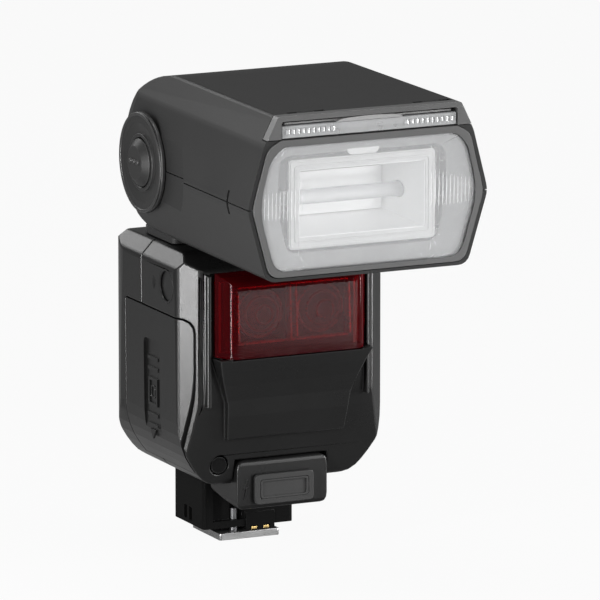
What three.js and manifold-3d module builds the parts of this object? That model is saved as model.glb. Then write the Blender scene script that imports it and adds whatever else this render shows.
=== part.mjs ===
// Speedlight flash: a shoe-mounted flash with a tilting and turning zoom head.
// Millimetres, +Z up, the lamp faces -Y. The origin is the middle of the foot plate's underside.
import * as THREE from "three";
import { mergeVertices } from "three/addons/utils/BufferGeometryUtils.js";
import Module from "manifold-3d";

const wasm = await Module();
wasm.setup();

// ---- Driving dimensions ----
const GAP = 0.3; // running and seating clearance
const SEAM = 0.15; // half the line between two shell halves
const ROUND = 32; // sides of a full circle

// Head: a tapered box in front of a round rear drum
const HEAD_TOP = 137;
const HEAD_TOP_HALF = 27.7;
const HEAD_SHOULDER_Z = 128.8;
const HEAD_SHOULDER_HALF = 31.8;
const HEAD_SEAM_Z = 111.4;
const HEAD_HALF = 36.5;
const HEAD_FLOOR_Z = 90.8;
const HEAD_FLOOR_HALF = 30.6;
const HEAD_FLOOR_CORNER = 3;
const HEAD_FRONT_Y = -88.3;
const HEAD_LEAN = 1.5; // the front face leans back this far from top to floor
const HEAD_REAR_TAPER = 0.965; // width at the tilt axis as a share of the front width
const HEAD_WALL = 1.8;
const HEAD_TOP_BACK_Y = -24;
const RIM = 1.5; // the shells' front rim outside the lower bezel
const RIM_SET_BACK = 0.4;
const BEZEL_DEPTH = 3.4;
const BEZEL_SPLIT_Z = 130.4;

// Tilt joint
const TILT_Y = -11.8;
const TILT_Z = 111.8;
const DRUM_R = 20.1;
const HUB_FACE = 33;
const HUB_R = 14.3;
const HUB_THICK = 1.4;
const BLEND_IN_R = 26;
const BLEND_OUT_R = 33;
const RELEASE_R = 6.8;
const RELEASE_PROUD = 2.2;
const AXLE_R = 3;
const PIVOT_PLATE_R = 7;
const YOKE_HALF = 16;
const YOKE_R = 17.4;
const TILT_DOWN = 7; // degrees
const TILT_UP = 90;

// Lens, panel and card in the head's mouth
const LENS_HALF = 33.7;
const LENS_TOP_HALF = 26.8;
const LENS_TOP_Z = 128.9;
const LENS_SHOULDER_HALF = 30.4;
const LENS_SHOULDER_Z = 125;
const LENS_FLOOR_Z = 93;
const LENS_FLOOR_HALF = 28.6;
const LENS_LAP = 0.4; // the bezel's lip over the lens edge
const LENS_THICK = 1.8;
const LENS_SET_BACK = 0.5;
const PANEL_HALF = 26.4;
const PANEL_Z = 130.7;
const PANEL_LIP = 3.4;
const PANEL_THICK = 1.2;
const PANEL_LONG = 40;
const CARD_THICK = 0.5;
const CARD_LONG = 42;
const CARD_LIP_HALF = 10;
const CARD_LIP = 0.8;

// Zoom works behind the lens
const MOUTH_HALF = 19;
const MOUTH_TALL = 18.4;
const MOUTH_Z = 111.2;
const MOUTH_Y = -83;
const BOWL_DEPTH = 15;
const BOWL_BACK = 0.66; // back of the bowl as a share of its mouth
const TUBE_R = 2.1;
const TUBE_HALF = 25.5;
const TUBE_SET_BACK = 9;
const CARRIAGE_HALF = 27;
const CARRIAGE_THICK = 4;
const ROD_R = 1.2;
const ROD_X = 24;
const ROD_Z = 99.4;
const SCREW_R = 1.5;
const SCREW_Z = 121;
const FRAME_BACK_Y = -36;
const MOTOR_R = 4.2;
const MOTOR_LONG = 7;
const FAN_HALF = 7;
const FAN_DEPTH = 6;

// Body
const BODY_TOP = 88.2;
const BODY_SHOULDER_Z = 84;
const BODY_HALF = 32;
const BODY_TOP_HALF = BODY_HALF - 4;
const BODY_LOW_Z = 33;
const BODY_LOW_HALF = BODY_HALF - 0.5;
const BODY_FLOOR = 21;
const BODY_FLOOR_HALF = BODY_HALF - 9.5;
const BODY_REAR_Y = 15.3;
const BODY_REAR_HALF = BODY_HALF - 2.2;
const BODY_FRONT_Y = -34.8;
const BODY_FRONT_HALF = BODY_HALF - 6;
const BODY_SIDE_FRONT_Y = -29;
const BODY_FOOT_Y = -29; // the front face's lowest edge
const BODY_WALL = 1.8;
const BODY_SEAM_Y = -6;

// Neck and turntable
const PAN_Y = -11.8;
const TURNTABLE_R = 21.5;
const TURNTABLE_Z = 87.3;
const TURNTABLE_TOP = 88.6;
const NECK_HALF = 26.5;
const NECK_FRONT_Y = -16;
const NECK_REAR_Y = 7;
const NECK_TOP = 90.6;
const SPIGOT_R = 13;
const SPIGOT_BORE_R = 7;
const RETAINER_R = 16;

// Front of the body: red window, brow, sensor and power terminal
const WINDOW_Y = -41.8;
const WINDOW_HALF = 19.9;
const WINDOW_BACK_HALF = 23.6;
const WINDOW_BACK_Y = -36.2;
const WINDOW_FLOOR = 59.6;
const WINDOW_TOP = 81;
const WINDOW_TOP_BACK = 83.6;
const WINDOW_WALL = 1.4;
const BROW_HALF = 25.4;
const BROW_TIP_Z = 46;
const BROW_TIP_HALF = 19;
const LAMP_X = 9.4;
const LAMP_R = 7.4;
const LIGHT_SENSOR_X = -19;
const LIGHT_SENSOR_Z = 27.2;
const LIGHT_SENSOR_R = 2.5;
const REMOTE_Y = -23;
const REMOTE_Z = 78.3;
const REMOTE_R = 4.3;
const TERMINAL_HALF = 14;
const TERMINAL_FLOOR = 13.6;
const TERMINAL_TOP = 28;
const TERMINAL_FRONT_Y = -31.4;
const TERMINAL_REAR_Y = -13;
const SOCKET_HALF = 6.6;
const SOCKET_TALL = 5.6;
const SOCKET_Z = 19.6;
const CAP_HALF = 9.1;
const CAP_TALL = 8.6;
const CAP_THICK = 1.3;

// Battery bay behind the side door
const DOOR_TOP = 70;
const DOOR_REAR_Y = 5.2;
const DOOR_FRONT_Y = -32.8;
const DOOR_CORNER = 4;
const DOOR_UNDER_X = 6.4 - BODY_HALF; // the door wraps under the body as far as this
const DOOR_SLIDE = 2.5;
const RECESS_Y = -12.5;
const RECESS_HALF = 5.4;
const RECESS_LOW = 31;
const RECESS_HIGH = 61;
const RECESS_DEEP = 1.1;
const CELL_R = 7.1;
const CELL_LONG = 49;
const CELL_PITCH = 15;
const BAY_Y = -11;
const BAY_Z = 46;
const BAY_LEFT = 4.4 - BODY_HALF;
const BAY_WALL = 1.2;
const CAPACITOR_R = 8.6;
const CAPACITOR_LONG = 44;
const CAPACITOR_Z = 71.4;
const BOARD_Y = 8.2;
const BOARD_THICK = 1.6;

// Rear panel
const REAR_WALL = 2.6;
const LCD_HALF = 20.5;
const LCD_LOW = 54;
const LCD_HIGH = 79;
const DIAL_Z = 36;
const DIAL_R = 9.4;
const DIAL_BORE_R = 4.9;
const DIAL_SET_IN = 1.1;
const CONTROL_PROUD = 0.7;
const KEY_HALF = 3.4;
const KEY_TALL = 3.2;
const SWITCH_R = 4.4;

// Foot
const FOOT_HALF = 9.3;
const FOOT_REACH = 9.4;
const FOOT_THICK = 2;
const BLOCK_HALF = 14;
const BLOCK_FRONT_Y = -8.6;
const BLOCK_REAR_Y = 11.6;
const BLOCK_LOW = 3.4;
const CONTACT_X = 3.6;
const CONTACT_HALF = 4.4;
const PIN_R = 1.1;
const PIN_Y = -6.2;
const LEVER_Z = 9.5;
const LEVER_THICK = 3;
const LEVER_X = 4;
const LEVER_Y = 5;
const LEVER_R = 3.4;

// ---- Building helpers ----
const X = new THREE.Vector3(1, 0, 0);
const Y = new THREE.Vector3(0, 1, 0);
const Z = new THREE.Vector3(0, 0, 1);

// A closed three.js geometry, put in its place, as a manifold solid that faces out.
function solid(geometry, place = new THREE.Matrix4(), bend = null) {
  const bare = geometry.clone();
  bare.deleteAttribute("normal");
  bare.deleteAttribute("uv");
  const merged = mergeVertices(bare, 1e-4).applyMatrix4(place);
  const vertProperties = merged.attributes.position.array;
  if (bend) bend(vertProperties);
  const triVerts = new Uint32Array(merged.index.array);
  const made = new wasm.Manifold(new wasm.Mesh({ numProp: 3, vertProperties, triVerts }));
  if (made.volume() > 0) return made;
  for (let i = 0; i < triVerts.length; i += 3) {
    [triVerts[i + 1], triVerts[i + 2]] = [triVerts[i + 2], triVerts[i + 1]];
  }
  return new wasm.Manifold(new wasm.Mesh({ numProp: 3, vertProperties, triVerts }));
}

// A manifold solid as a flat-shaded three.js geometry.
function geometryOf(body) {
  const mesh = body.getMesh();
  const geometry = new THREE.BufferGeometry();
  geometry.setAttribute("position", new THREE.BufferAttribute(mesh.vertProperties, 3));
  geometry.setIndex(new THREE.BufferAttribute(mesh.triVerts, 1));
  geometry.computeVertexNormals();
  return geometry;
}

const join = (first, ...rest) => rest.reduce((sum, one) => sum.add(one), first);
const cut = (first, ...rest) => rest.reduce((left, one) => left.subtract(one), first);

// A closed outline through [u, v, corner radius] points.
function outline(points) {
  const shape = new THREE.Shape();
  const corner = points.map(([u, v]) => new THREE.Vector2(u, v));
  points.forEach(([, , radius = 0], i) => {
    const here = corner[i];
    const before = corner[(i + points.length - 1) % points.length];
    const after = corner[(i + 1) % points.length];
    const into = here.clone().add(before.clone().sub(here).setLength(radius));
    const out = here.clone().add(after.clone().sub(here).setLength(radius));
    if (i === 0) shape.moveTo(into.x, into.y);
    else shape.lineTo(into.x, into.y);
    if (radius > 0) shape.quadraticCurveTo(here.x, here.y, out.x, out.y);
  });
  shape.closePath();
  return shape;
}

// The outline of a shape that is the same left and right, from its right-hand points.
const mirrored = (points) => outline([
  ...points,
  ...points.map(([u, ...rest]) => [-u, ...rest]).reverse(),
]);

const rectangle = (u0, u1, v0, v1, radius = 0) =>
  outline([[u0, v0, radius], [u1, v0, radius], [u1, v1, radius], [u0, v1, radius]]);

// An outline pushed along an axis: in XY along Z, in XZ along Y, or in YZ along X.
function prism(shape, axis, from, to, curveSegments = 4, bend = null) {
  const geometry = new THREE.ExtrudeGeometry(shape, {
    depth: to - from,
    bevelEnabled: false,
    curveSegments,
  });
  const place = new THREE.Matrix4();
  if (axis === Z) place.makeTranslation(0, 0, from);
  if (axis === Y) place.makeRotationX(Math.PI / 2).setPosition(0, to, 0);
  if (axis === X) place.makeBasis(Y, Z, X).setPosition(from, 0, 0);
  return solid(geometry, place, bend);
}

const box = (x0, x1, y0, y1, z0, z1) => prism(rectangle(x0, x1, y0, y1), Z, z0, z1);

// A solid of revolution from [radius, along] points, about a line through (x, y, z) along an axis.
function turned(profile, axis, [x, y, z], sides = ROUND) {
  const points = profile.map(([r, along]) => new THREE.Vector2(r, along));
  const turn = new THREE.Quaternion().setFromUnitVectors(Y, axis);
  const place = new THREE.Matrix4().makeRotationFromQuaternion(turn).setPosition(x, y, z);
  return solid(new THREE.LatheGeometry(points, sides), place);
}

// A profile for the right side, or its mirror image for the left.
const sided = (side, profile) => profile.map(([r, along]) => [r, side * along]);

const rod = (radius, axis, from, to, [x, y, z], sides = ROUND) =>
  turned([[0, from], [radius, from], [radius, to], [0, to]], axis, [x, y, z], sides);

function finish(colour, roughness, metalness = 0, opacity = 1) {
  return new THREE.MeshStandardMaterial({
    color: colour,
    roughness,
    metalness,
    opacity,
    transparent: opacity < 1,
  });
}

const shellBlack = finish(0x1c1c1d, 0.5);
const headBlack = finish(0x2a2a2b, 0.55);
const bezelGrey = finish(0x38383a, 0.45);
const rubber = finish(0x161616, 0.8);
const clear = finish(0xe9edef, 0.15, 0, 0.45);
const redGlass = finish(0x8c0f1a, 0.12, 0, 0.6);
const white = finish(0xf2f2f0, 0.6);
const steel = finish(0xc9cbcd, 0.25, 1);
const gold = finish(0xd8b25a, 0.25, 1);
const boardGreen = finish(0x1f4a33, 0.5);
const darkPlastic = finish(0x0d0d0e, 0.35);

const group = new THREE.Group();

function node(name, body, material) {
  const mesh = new THREE.Mesh(geometryOf(body), material);
  mesh.name = name;
  group.add(mesh);
}

// ---- Head ----

// Front outline of the head, drawn in by an inset.
const headFace = (inset) => mirrored([
  [HEAD_FLOOR_HALF - inset * 0.7, HEAD_FLOOR_Z + inset, HEAD_FLOOR_CORNER],
  [HEAD_HALF - inset, HEAD_SEAM_Z, 2],
  [HEAD_SHOULDER_HALF - inset * 0.9, HEAD_SHOULDER_Z - inset * 0.5, 1],
  [HEAD_TOP_HALF - inset * 0.6, HEAD_TOP - inset, 0.8],
]);

// Side outline of the head: flat top and floor, running into the drum behind.
function headSide(inset, front) {
  const drum = DRUM_R - inset;
  const shape = new THREE.Shape();
  const backAngle = THREE.MathUtils.degToRad(28);
  shape.moveTo(front, HEAD_FLOOR_Z + inset);
  shape.lineTo(TILT_Y, TILT_Z - drum);
  shape.absarc(TILT_Y, TILT_Z, drum, -Math.PI / 2, backAngle, false);
  shape.quadraticCurveTo(
    TILT_Y + drum * 0.62, HEAD_TOP - inset,
    HEAD_TOP_BACK_Y, HEAD_TOP - inset,
  );
  shape.lineTo(front, HEAD_TOP - inset);
  shape.closePath();
  return shape;
}

// Narrows the head evenly towards the rear.
function taperHead(vertices) {
  const slope = (1 - HEAD_REAR_TAPER) / (TILT_Y - HEAD_FRONT_Y);
  for (let i = 0; i < vertices.length; i += 3) {
    vertices[i] *= 1 - slope * (vertices[i + 1] - HEAD_FRONT_Y);
  }
}

// The whole head as one block, drawn in by an inset: box in front, round flanks behind.
function headBlock(inset, front = HEAD_FRONT_Y) {
  const rear = TILT_Y + 30;
  const faceBlock = prism(headFace(inset), Y, front - 10, rear, 4, taperHead);
  const sideBlock = prism(headSide(inset, front), X, -HEAD_HALF, HEAD_HALF, 14);
  const topR = HEAD_TOP - TILT_Z - inset;
  const shoulderR = HEAD_SHOULDER_Z - TILT_Z - inset * 0.5;
  const flanks = turned([
    [0, inset - HUB_FACE],
    [HUB_R + 0.9 - inset * 0.4, inset - HUB_FACE],
    [shoulderR, inset * 0.9 - HEAD_SHOULDER_HALF],
    [topR + 2, inset * 0.6 - HEAD_TOP_HALF],
    [topR + 2, HEAD_TOP_HALF - inset * 0.6],
    [shoulderR, HEAD_SHOULDER_HALF - inset * 0.9],
    [HUB_R + 0.9 - inset * 0.4, HUB_FACE - inset],
    [0, HUB_FACE - inset],
  ], X, [0, TILT_Y, TILT_Z], 40);
  const frontBox = box(-HEAD_HALF, HEAD_HALF, front - 1, TILT_Y, 0, HEAD_TOP);
  const blends = [-1, 1].map((side) => turned(sided(side, [
    [0, HUB_FACE - inset],
    [BLEND_IN_R, HUB_FACE - inset],
    [BLEND_OUT_R, HEAD_HALF - inset],
    [BLEND_OUT_R, HEAD_HALF + 4],
    [0, HEAD_HALF + 4],
  ]), X, [0, TILT_Y, TILT_Z], 40));
  return cut(faceBlock.intersect(sideBlock).intersect(join(frontBox, flanks)), ...blends);
}

// Everything behind the plane that the leaning front face makes at a set-back.
const behindFace = (setBack) => prism(outline([
  [HEAD_FRONT_Y + setBack, HEAD_TOP + 5],
  [HEAD_FRONT_Y + setBack, HEAD_TOP],
  [HEAD_FRONT_Y + setBack + HEAD_LEAN, HEAD_FLOOR_Z],
  [HEAD_FRONT_Y + setBack + HEAD_LEAN, HEAD_FLOOR_Z - 5],
  [60, HEAD_FLOOR_Z - 5],
  [60, HEAD_TOP + 5],
]), X, -60, 60);

// The way that the yoke needs through the head's floor and back over the whole tilt.
function yokeSlot() {
  const reach = 40;
  const spread = 37;
  const turn = (degrees) => {
    const angle = THREE.MathUtils.degToRad(degrees);
    return [TILT_Y + reach * Math.cos(angle), TILT_Z + reach * Math.sin(angle)];
  };
  return prism(outline([
    [TILT_Y, TILT_Z],
    turn(-90 - TILT_DOWN - spread),
    turn(-90),
    turn(-45),
    turn(TILT_UP - 90 + spread),
  ]), X, -YOKE_HALF - GAP, YOKE_HALF + GAP);
}

const lensShape = (grow) => mirrored([
  [LENS_FLOOR_HALF + grow, LENS_FLOOR_Z - grow, 4],
  [LENS_HALF + grow, HEAD_SEAM_Z, 6],
  [LENS_SHOULDER_HALF + grow, LENS_SHOULDER_Z + grow * 0.6, 2.4],
  [LENS_TOP_HALF + grow, LENS_TOP_Z + grow, 2.2],
]);

// Outline of the lower bezel, which sits inside the shells' front rim and narrows up to the panel.
const lowerBezelShape = (grow) => mirrored([
  [HEAD_FLOOR_HALF - RIM * 0.7 + grow, HEAD_FLOOR_Z + RIM * 0.8 - grow, HEAD_FLOOR_CORNER],
  [HEAD_HALF - RIM + grow, HEAD_SEAM_Z, 2],
  [HEAD_SHOULDER_HALF - RIM * 0.8 + grow, HEAD_SHOULDER_Z - RIM * 0.5, 2],
  [PANEL_HALF + grow, BEZEL_SPLIT_Z],
  [PANEL_HALF + grow, BEZEL_SPLIT_Z + 1],
]);

const stripShape = (grow) => mirrored([
  [PANEL_HALF + grow, PANEL_Z - grow],
  [PANEL_HALF + grow, PANEL_Z + PANEL_LIP + CARD_LIP + GAP + grow, 0.6],
]);

function makeHeadShells() {
  const block = headBlock(0);
  const hollow = headBlock(HEAD_WALL);
  const releaseHole = rod(RELEASE_R + GAP, X, -HEAD_HALF - 2, -HUB_FACE + 4, [0, TILT_Y, TILT_Z]);
  const walls = cut(block.intersect(behindFace(BEZEL_DEPTH)), hollow, yokeSlot(), releaseHole);
  const lowerFace = prism(lowerBezelShape(0), Y, -120, 0);
  const lowerSeat = prism(lowerBezelShape(2 * SEAM), Y, -120, 0);
  const belowSplit = box(-60, 60, -120, 60, 0, BEZEL_SPLIT_Z - SEAM);
  const rimSpace = cut(behindFace(RIM_SET_BACK), behindFace(BEZEL_DEPTH + GAP));
  const rim = cut(block.intersect(rimSpace).intersect(belowSplit), lowerSeat);
  const shell = join(walls, rim);
  const upperSpace = box(-60, 60, -120, 60, HEAD_SEAM_Z + SEAM, 200);
  const lowerSpace = box(-60, 60, -120, 60, 0, HEAD_SEAM_Z - SEAM);
  const sideSlits = [-1, 1].map((side) =>
    box(side * 35 - 3, side * 35 + 3, -73.4, -72.2, HEAD_SEAM_Z - 3.4, HEAD_SEAM_Z + 3.2));
  const topNotches = [-17.5, 20.5].map((x) =>
    box(x - 5.6, x + 5.6, -90, HEAD_FRONT_Y + BEZEL_DEPTH + 1.6, HEAD_TOP - 0.9, HEAD_TOP + 1));
  node("head_upper_shell", cut(shell.intersect(upperSpace), ...sideSlits, ...topNotches), headBlack);
  node("head_lower_shell", cut(shell.intersect(lowerSpace), ...sideSlits), headBlack);

  const bezelSpace = cut(behindFace(0), behindFace(BEZEL_DEPTH - 2 * SEAM));
  const lensWay = prism(lensShape(-LENS_LAP), Y, -120, 0);
  const lensSeat = prism(lensShape(GAP), Y, -120, 0).intersect(behindFace(LENS_SET_BACK - GAP));
  const stripWay = prism(stripShape(GAP), Y, -120, 0);
  const bezel = cut(block.intersect(bezelSpace), lensWay, lensSeat, stripWay);
  const aboveSplit = box(-60, 60, -120, 60, BEZEL_SPLIT_Z + SEAM, 200);
  node("front_bezel_upper", bezel.intersect(aboveSplit), bezelGrey);
  node("front_bezel_lower", bezel.intersect(belowSplit).intersect(lowerFace), bezelGrey);

  const lensBand = cut(behindFace(LENS_SET_BACK), behindFace(LENS_SET_BACK + LENS_THICK));
  node("fresnel_lens", prism(lensShape(0), Y, -120, 0).intersect(lensBand), clear);
}

function makePanelAndCard() {
  const lipDeep = 1.6;
  const lipFront = HEAD_FRONT_Y + 0.5;
  const plate = box(-PANEL_HALF, PANEL_HALF, lipFront, lipFront + PANEL_LONG,
    PANEL_Z, PANEL_Z + PANEL_THICK);
  const lip = box(-PANEL_HALF, PANEL_HALF, lipFront, lipFront + lipDeep,
    PANEL_Z, PANEL_Z + PANEL_LIP);
  node("wide_panel", join(plate, lip), clear);

  const cardZ = PANEL_Z + PANEL_LIP + GAP;
  const cardHalf = PANEL_HALF - 1.2;
  const card = box(-cardHalf, cardHalf, lipFront + 1, lipFront + CARD_LONG,
    cardZ, cardZ + CARD_THICK);
  const pull = prism(mirrored([
    [CARD_LIP_HALF, cardZ],
    [CARD_LIP_HALF * 0.7, cardZ + CARD_LIP, 1],
  ]), Y, lipFront - 0.3, lipFront + 2);
  node("bounce_card", join(card, pull), white);
}

function makeZoomWorks() {
  const midY = MOUTH_Y + BOWL_DEPTH / 2;
  const bowl = (grow, long) => {
    const mouth = (MOUTH_HALF + grow) * Math.SQRT2;
    const back = (MOUTH_HALF * BOWL_BACK + grow) * Math.SQRT2;
    const place = new THREE.Matrix4().makeTranslation(0, midY, MOUTH_Z)
      .multiply(new THREE.Matrix4().makeScale(1, 1, (MOUTH_TALL / 2 + grow) / (MOUTH_HALF + grow)))
      .multiply(new THREE.Matrix4().makeRotationY(Math.PI / 4));
    return solid(new THREE.CylinderGeometry(back, mouth, long, 4), place);
  };
  const tubeY = MOUTH_Y + TUBE_SET_BACK;
  const tubeWay = rod(TUBE_R + GAP, X, -40, 40, [0, tubeY, MOUTH_Z], 24);
  const backWall = box(-12.6, 12.6, MOUTH_Y + BOWL_DEPTH - 1.2, MOUTH_Y + BOWL_DEPTH,
    MOUTH_Z - 6, MOUTH_Z + 6);
  const bowlShell = cut(bowl(1, BOWL_DEPTH), bowl(0, BOWL_DEPTH + 0.2), tubeWay);
  node("reflector", join(bowlShell, backWall), white);

  node("flash_tube", rod(TUBE_R, X, -TUBE_HALF, TUBE_HALF, [0, tubeY, MOUTH_Z], 20), clear);

  // The carriage holds the bowl and both ends of the tube, and runs on two rods and a lead screw.
  const backY = MOUTH_Y + BOWL_DEPTH - CARRIAGE_THICK;
  const plate = box(-CARRIAGE_HALF, CARRIAGE_HALF, backY, backY + CARRIAGE_THICK,
    ROD_Z - 3, SCREW_Z + 3);
  const arms = [-1, 1].map((side) =>
    box(side * 25 - 1.4, side * 25 + 1.4, tubeY - 3, backY + 1, MOUTH_Z - 4, MOUTH_Z + 4));
  const rodWays = [-1, 1].map((side) => rod(ROD_R + GAP, Y, -120, 0, [side * ROD_X, 0, ROD_Z], 20));
  const screwWay = rod(SCREW_R + GAP, Y, -120, 0, [-ROD_X, 0, SCREW_Z], 20);
  const bowlWay = bowl(1 + GAP, BOWL_DEPTH);
  const tubeEndWay = rod(TUBE_R + GAP, X, -40, 40, [0, tubeY, MOUTH_Z], 24);
  const backWay = box(-13, 13, backY - 1, backY + CARRIAGE_THICK + 1, MOUTH_Z - 6.4, MOUTH_Z + 6.4);
  node("zoom_carriage",
    cut(join(plate, ...arms), ...rodWays, screwWay, bowlWay, tubeEndWay, backWay), darkPlastic);

  // The fixed frame: a floor with a back wall and two front ears that hold the rods.
  const frontY = MOUTH_Y + 1;
  const floorZ = TILT_Z - DRUM_R + HEAD_WALL; // clears the shell's floor, which rises to the rear
  const floor = box(-24.4, 24.4, frontY, FRAME_BACK_Y, floorZ, floorZ + 1.2);
  const wall = box(-26, 26, FRAME_BACK_Y - 2, FRAME_BACK_Y, floorZ, SCREW_Z + 4);
  const wallWay = box(-16, 16, FRAME_BACK_Y - 3, FRAME_BACK_Y + 1, floorZ + 6, SCREW_Z + 1);
  const ears = [-1, 1].map((side) =>
    box(side * 23.2 - 1.6, side * 23.2 + 1.6, frontY, frontY + 1.4, floorZ, ROD_Z + 2.2));
  const rodHoles = [-1, 1].map((side) => rod(ROD_R + GAP, Y, -120, 0, [side * ROD_X, 0, ROD_Z], 20));
  const screwHole = rod(SCREW_R + GAP, Y, -120, 0, [-ROD_X, 0, SCREW_Z], 20);
  node("zoom_frame", cut(join(floor, wall, ...ears), wallWay, ...rodHoles, screwHole), darkPlastic);

  for (const [name, side] of [["guide_rod_left", -1], ["guide_rod_right", 1]]) {
    node(name, rod(ROD_R, Y, frontY + 0.1, FRAME_BACK_Y, [side * ROD_X, 0, ROD_Z], 20), steel);
  }
  node("zoom_screw", rod(SCREW_R, Y, backY - 3, FRAME_BACK_Y + GAP, [-ROD_X, 0, SCREW_Z], 20), steel);
  const motorY = FRAME_BACK_Y + 2 * GAP;
  node("zoom_motor",
    rod(MOTOR_R, Y, motorY, motorY + MOTOR_LONG, [-ROD_X, 0, SCREW_Z], 28), steel);
}

// A small fan blows air past the tube, mounted behind the frame on the right.
function makeFan() {
  const y0 = FRAME_BACK_Y + GAP;
  const x = 21.5;
  const z = 112;
  const frame = box(x - FAN_HALF, x + FAN_HALF, y0, y0 + FAN_DEPTH, z - FAN_HALF, z + FAN_HALF);
  const way = rod(FAN_HALF - 0.8, Y, y0 + 1, y0 + FAN_DEPTH + 1, [x, 0, z]);
  const vents = [0, 1].map((i) =>
    rod(FAN_HALF - 2.2, Y, y0 - 1, y0 + 2, [x, 0, z], 24).intersect(
      box(x - 9 + i * 9.6, x - 0.6 + i * 9.6, y0 - 1, y0 + 2, z - 9, z + 9)));
  node("fan_frame", cut(frame, way, ...vents), darkPlastic);

  const hub = rod(2.2, Y, y0 + 1 + GAP, y0 + FAN_DEPTH - 0.5, [x, 0, z], 24);
  const blades = Array.from({ length: 7 }, (_, i) =>
    solid(new THREE.BoxGeometry(4, 0.7, 3).rotateX(0.6).translate(3.4, 0, 0),
      new THREE.Matrix4().makeRotationY((i * 2 * Math.PI) / 7).setPosition(x, y0 + 3.4, z),
    ).intersect(rod(FAN_HALF - 1.3, Y, y0 + 1 + GAP, y0 + FAN_DEPTH - 0.5, [x, 0, z])));
  node("fan_rotor", join(hub, ...blades), darkPlastic);
}

// ---- Tilt joint ----

function makeTiltJoint() {
  const centre = [0, TILT_Y, TILT_Z];
  const outer = HUB_FACE + GAP + HUB_THICK;
  // Both caps have a dished ring; the left one is bored for the release button.
  const dish = (side) => turned(sided(side, [
    [RELEASE_R + 1.4, outer - 0.7],
    [HUB_R - 3, outer],
    [HUB_R - 3, outer + 1],
    [RELEASE_R + 1.4, outer + 1],
    [RELEASE_R + 1.4, outer - 0.7],
  ]), X, centre);
  const cap = (side) => turned(sided(side, [
    [0, HUB_FACE + GAP],
    [HUB_R, HUB_FACE + GAP],
    [HUB_R, outer - 0.5],
    [HUB_R - 0.6, outer],
    [0, outer],
  ]), X, centre);
  const bore = rod(RELEASE_R + GAP, X, -HEAD_HALF - 5, -HUB_FACE + 5, centre);
  node("hub_cap_left", cut(cap(-1), dish(-1), bore), headBlack);
  node("hub_cap_right", cut(cap(1), dish(1)), headBlack);

  const face = outer + RELEASE_PROUD - 0.4;
  const button = turned([
    [0, -face],
    [RELEASE_R - 2, -face],
    [RELEASE_R, -outer - 0.2],
    [RELEASE_R, -HUB_FACE + 0.9],
    [0, -HUB_FACE + 0.9],
  ], X, centre);
  const dots = [-1, 0, 1].map((i) => solid(new THREE.SphereGeometry(0.6, 8, 6),
    new THREE.Matrix4().makeTranslation(-face, TILT_Y + i * 2.1, TILT_Z + 0.4)));
  node("tilt_release_button", join(button, ...dots), headBlack);

  const axleHalf = HUB_FACE - HEAD_WALL - GAP;
  node("tilt_axle", rod(AXLE_R, X, -axleHalf, axleHalf, centre, 28), steel);
  for (const [name, side] of [["pivot_plate_left", -1], ["pivot_plate_right", 1]]) {
    const faces = [side * (axleHalf - 2.2), side * axleHalf].sort((a, b) => a - b);
    const bored = rod(AXLE_R + GAP, X, -40, 40, centre, 28);
    node(name, cut(rod(PIVOT_PLATE_R, X, faces[0], faces[1], centre), bored), steel);
  }

  // The yoke: a round drum that closes the slot in the head, on the neck and the turntable.
  const drum = rod(YOKE_R, X, -YOKE_HALF, YOKE_HALF, centre, 40);
  const pedestal = box(-YOKE_HALF, YOKE_HALF, TILT_Y - 10, TILT_Y + 10, NECK_TOP - 1, TILT_Z - 4);
  const neck = prism(outline([
    [-NECK_HALF, NECK_FRONT_Y, 1.5],
    [NECK_HALF, NECK_FRONT_Y, 1.5],
    [NECK_HALF, NECK_REAR_Y, 6],
    [-NECK_HALF, NECK_REAR_Y, 6],
  ]), Z, TURNTABLE_TOP - 0.1, NECK_TOP);
  const disc = rod(TURNTABLE_R, Z, TURNTABLE_Z, TURNTABLE_TOP, [0, PAN_Y, 0], 40);
  const spigot = rod(SPIGOT_R, Z, BODY_TOP - 7, TURNTABLE_TOP, [0, PAN_Y, 0]);
  const wireWay = rod(SPIGOT_BORE_R, Z, 0, TILT_Z - 6, [0, PAN_Y, 0], 28);
  const hollow = rod(YOKE_R - 3, X, -YOKE_HALF + 3, YOKE_HALF - 3, centre);
  const axleWay = rod(AXLE_R + GAP, X, -40, 40, centre, 28);
  node("swivel_yoke",
    cut(join(drum, pedestal, neck, disc, spigot), wireWay, hollow, axleWay), headBlack);
  const ringTop = BODY_TOP - 5 - GAP;
  node("swivel_retainer", cut(
    rod(RETAINER_R, Z, ringTop - 2, ringTop, [0, PAN_Y, 0]),
    rod(SPIGOT_R + GAP, Z, 0, 200, [0, PAN_Y, 0])), steel);
}

// ---- Body ----

const bodyFace = (inset) => mirrored([
  [BODY_FLOOR_HALF - inset * 0.8, BODY_FLOOR + inset, 5],
  [BODY_LOW_HALF - inset, BODY_LOW_Z, 7],
  [BODY_HALF - inset, BODY_SHOULDER_Z - inset * 0.6, 1],
  [BODY_TOP_HALF - inset * 0.6, BODY_TOP - inset, 0.6],
]);

const bodyPlan = (inset, rear) => mirrored([
  [BODY_FRONT_HALF - inset * 0.5, BODY_FRONT_Y + inset, 1.5],
  [BODY_HALF - inset, BODY_SIDE_FRONT_Y + inset * 0.5, 1.5],
  [BODY_HALF - inset, rear - 7, 3],
  [BODY_REAR_HALF - inset, rear, 2.5],
]);

const bodySide = (inset, rear) => outline([
  [BODY_FOOT_Y + inset, BODY_FLOOR + inset, 2],
  [rear, BODY_FLOOR + inset, 4],
  [rear, BODY_SHOULDER_Z - inset * 0.6, 1],
  [rear - 3, BODY_TOP - inset, 0.6],
  [BODY_SIDE_FRONT_Y + 2, BODY_TOP - inset, 3],
  [BODY_FRONT_Y + inset, BODY_SHOULDER_Z - inset * 0.6, 1],
  [BODY_FRONT_Y + inset, 50, 8],
  [BODY_FRONT_Y + 3 + inset, BODY_LOW_Z, 6],
]);

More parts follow.
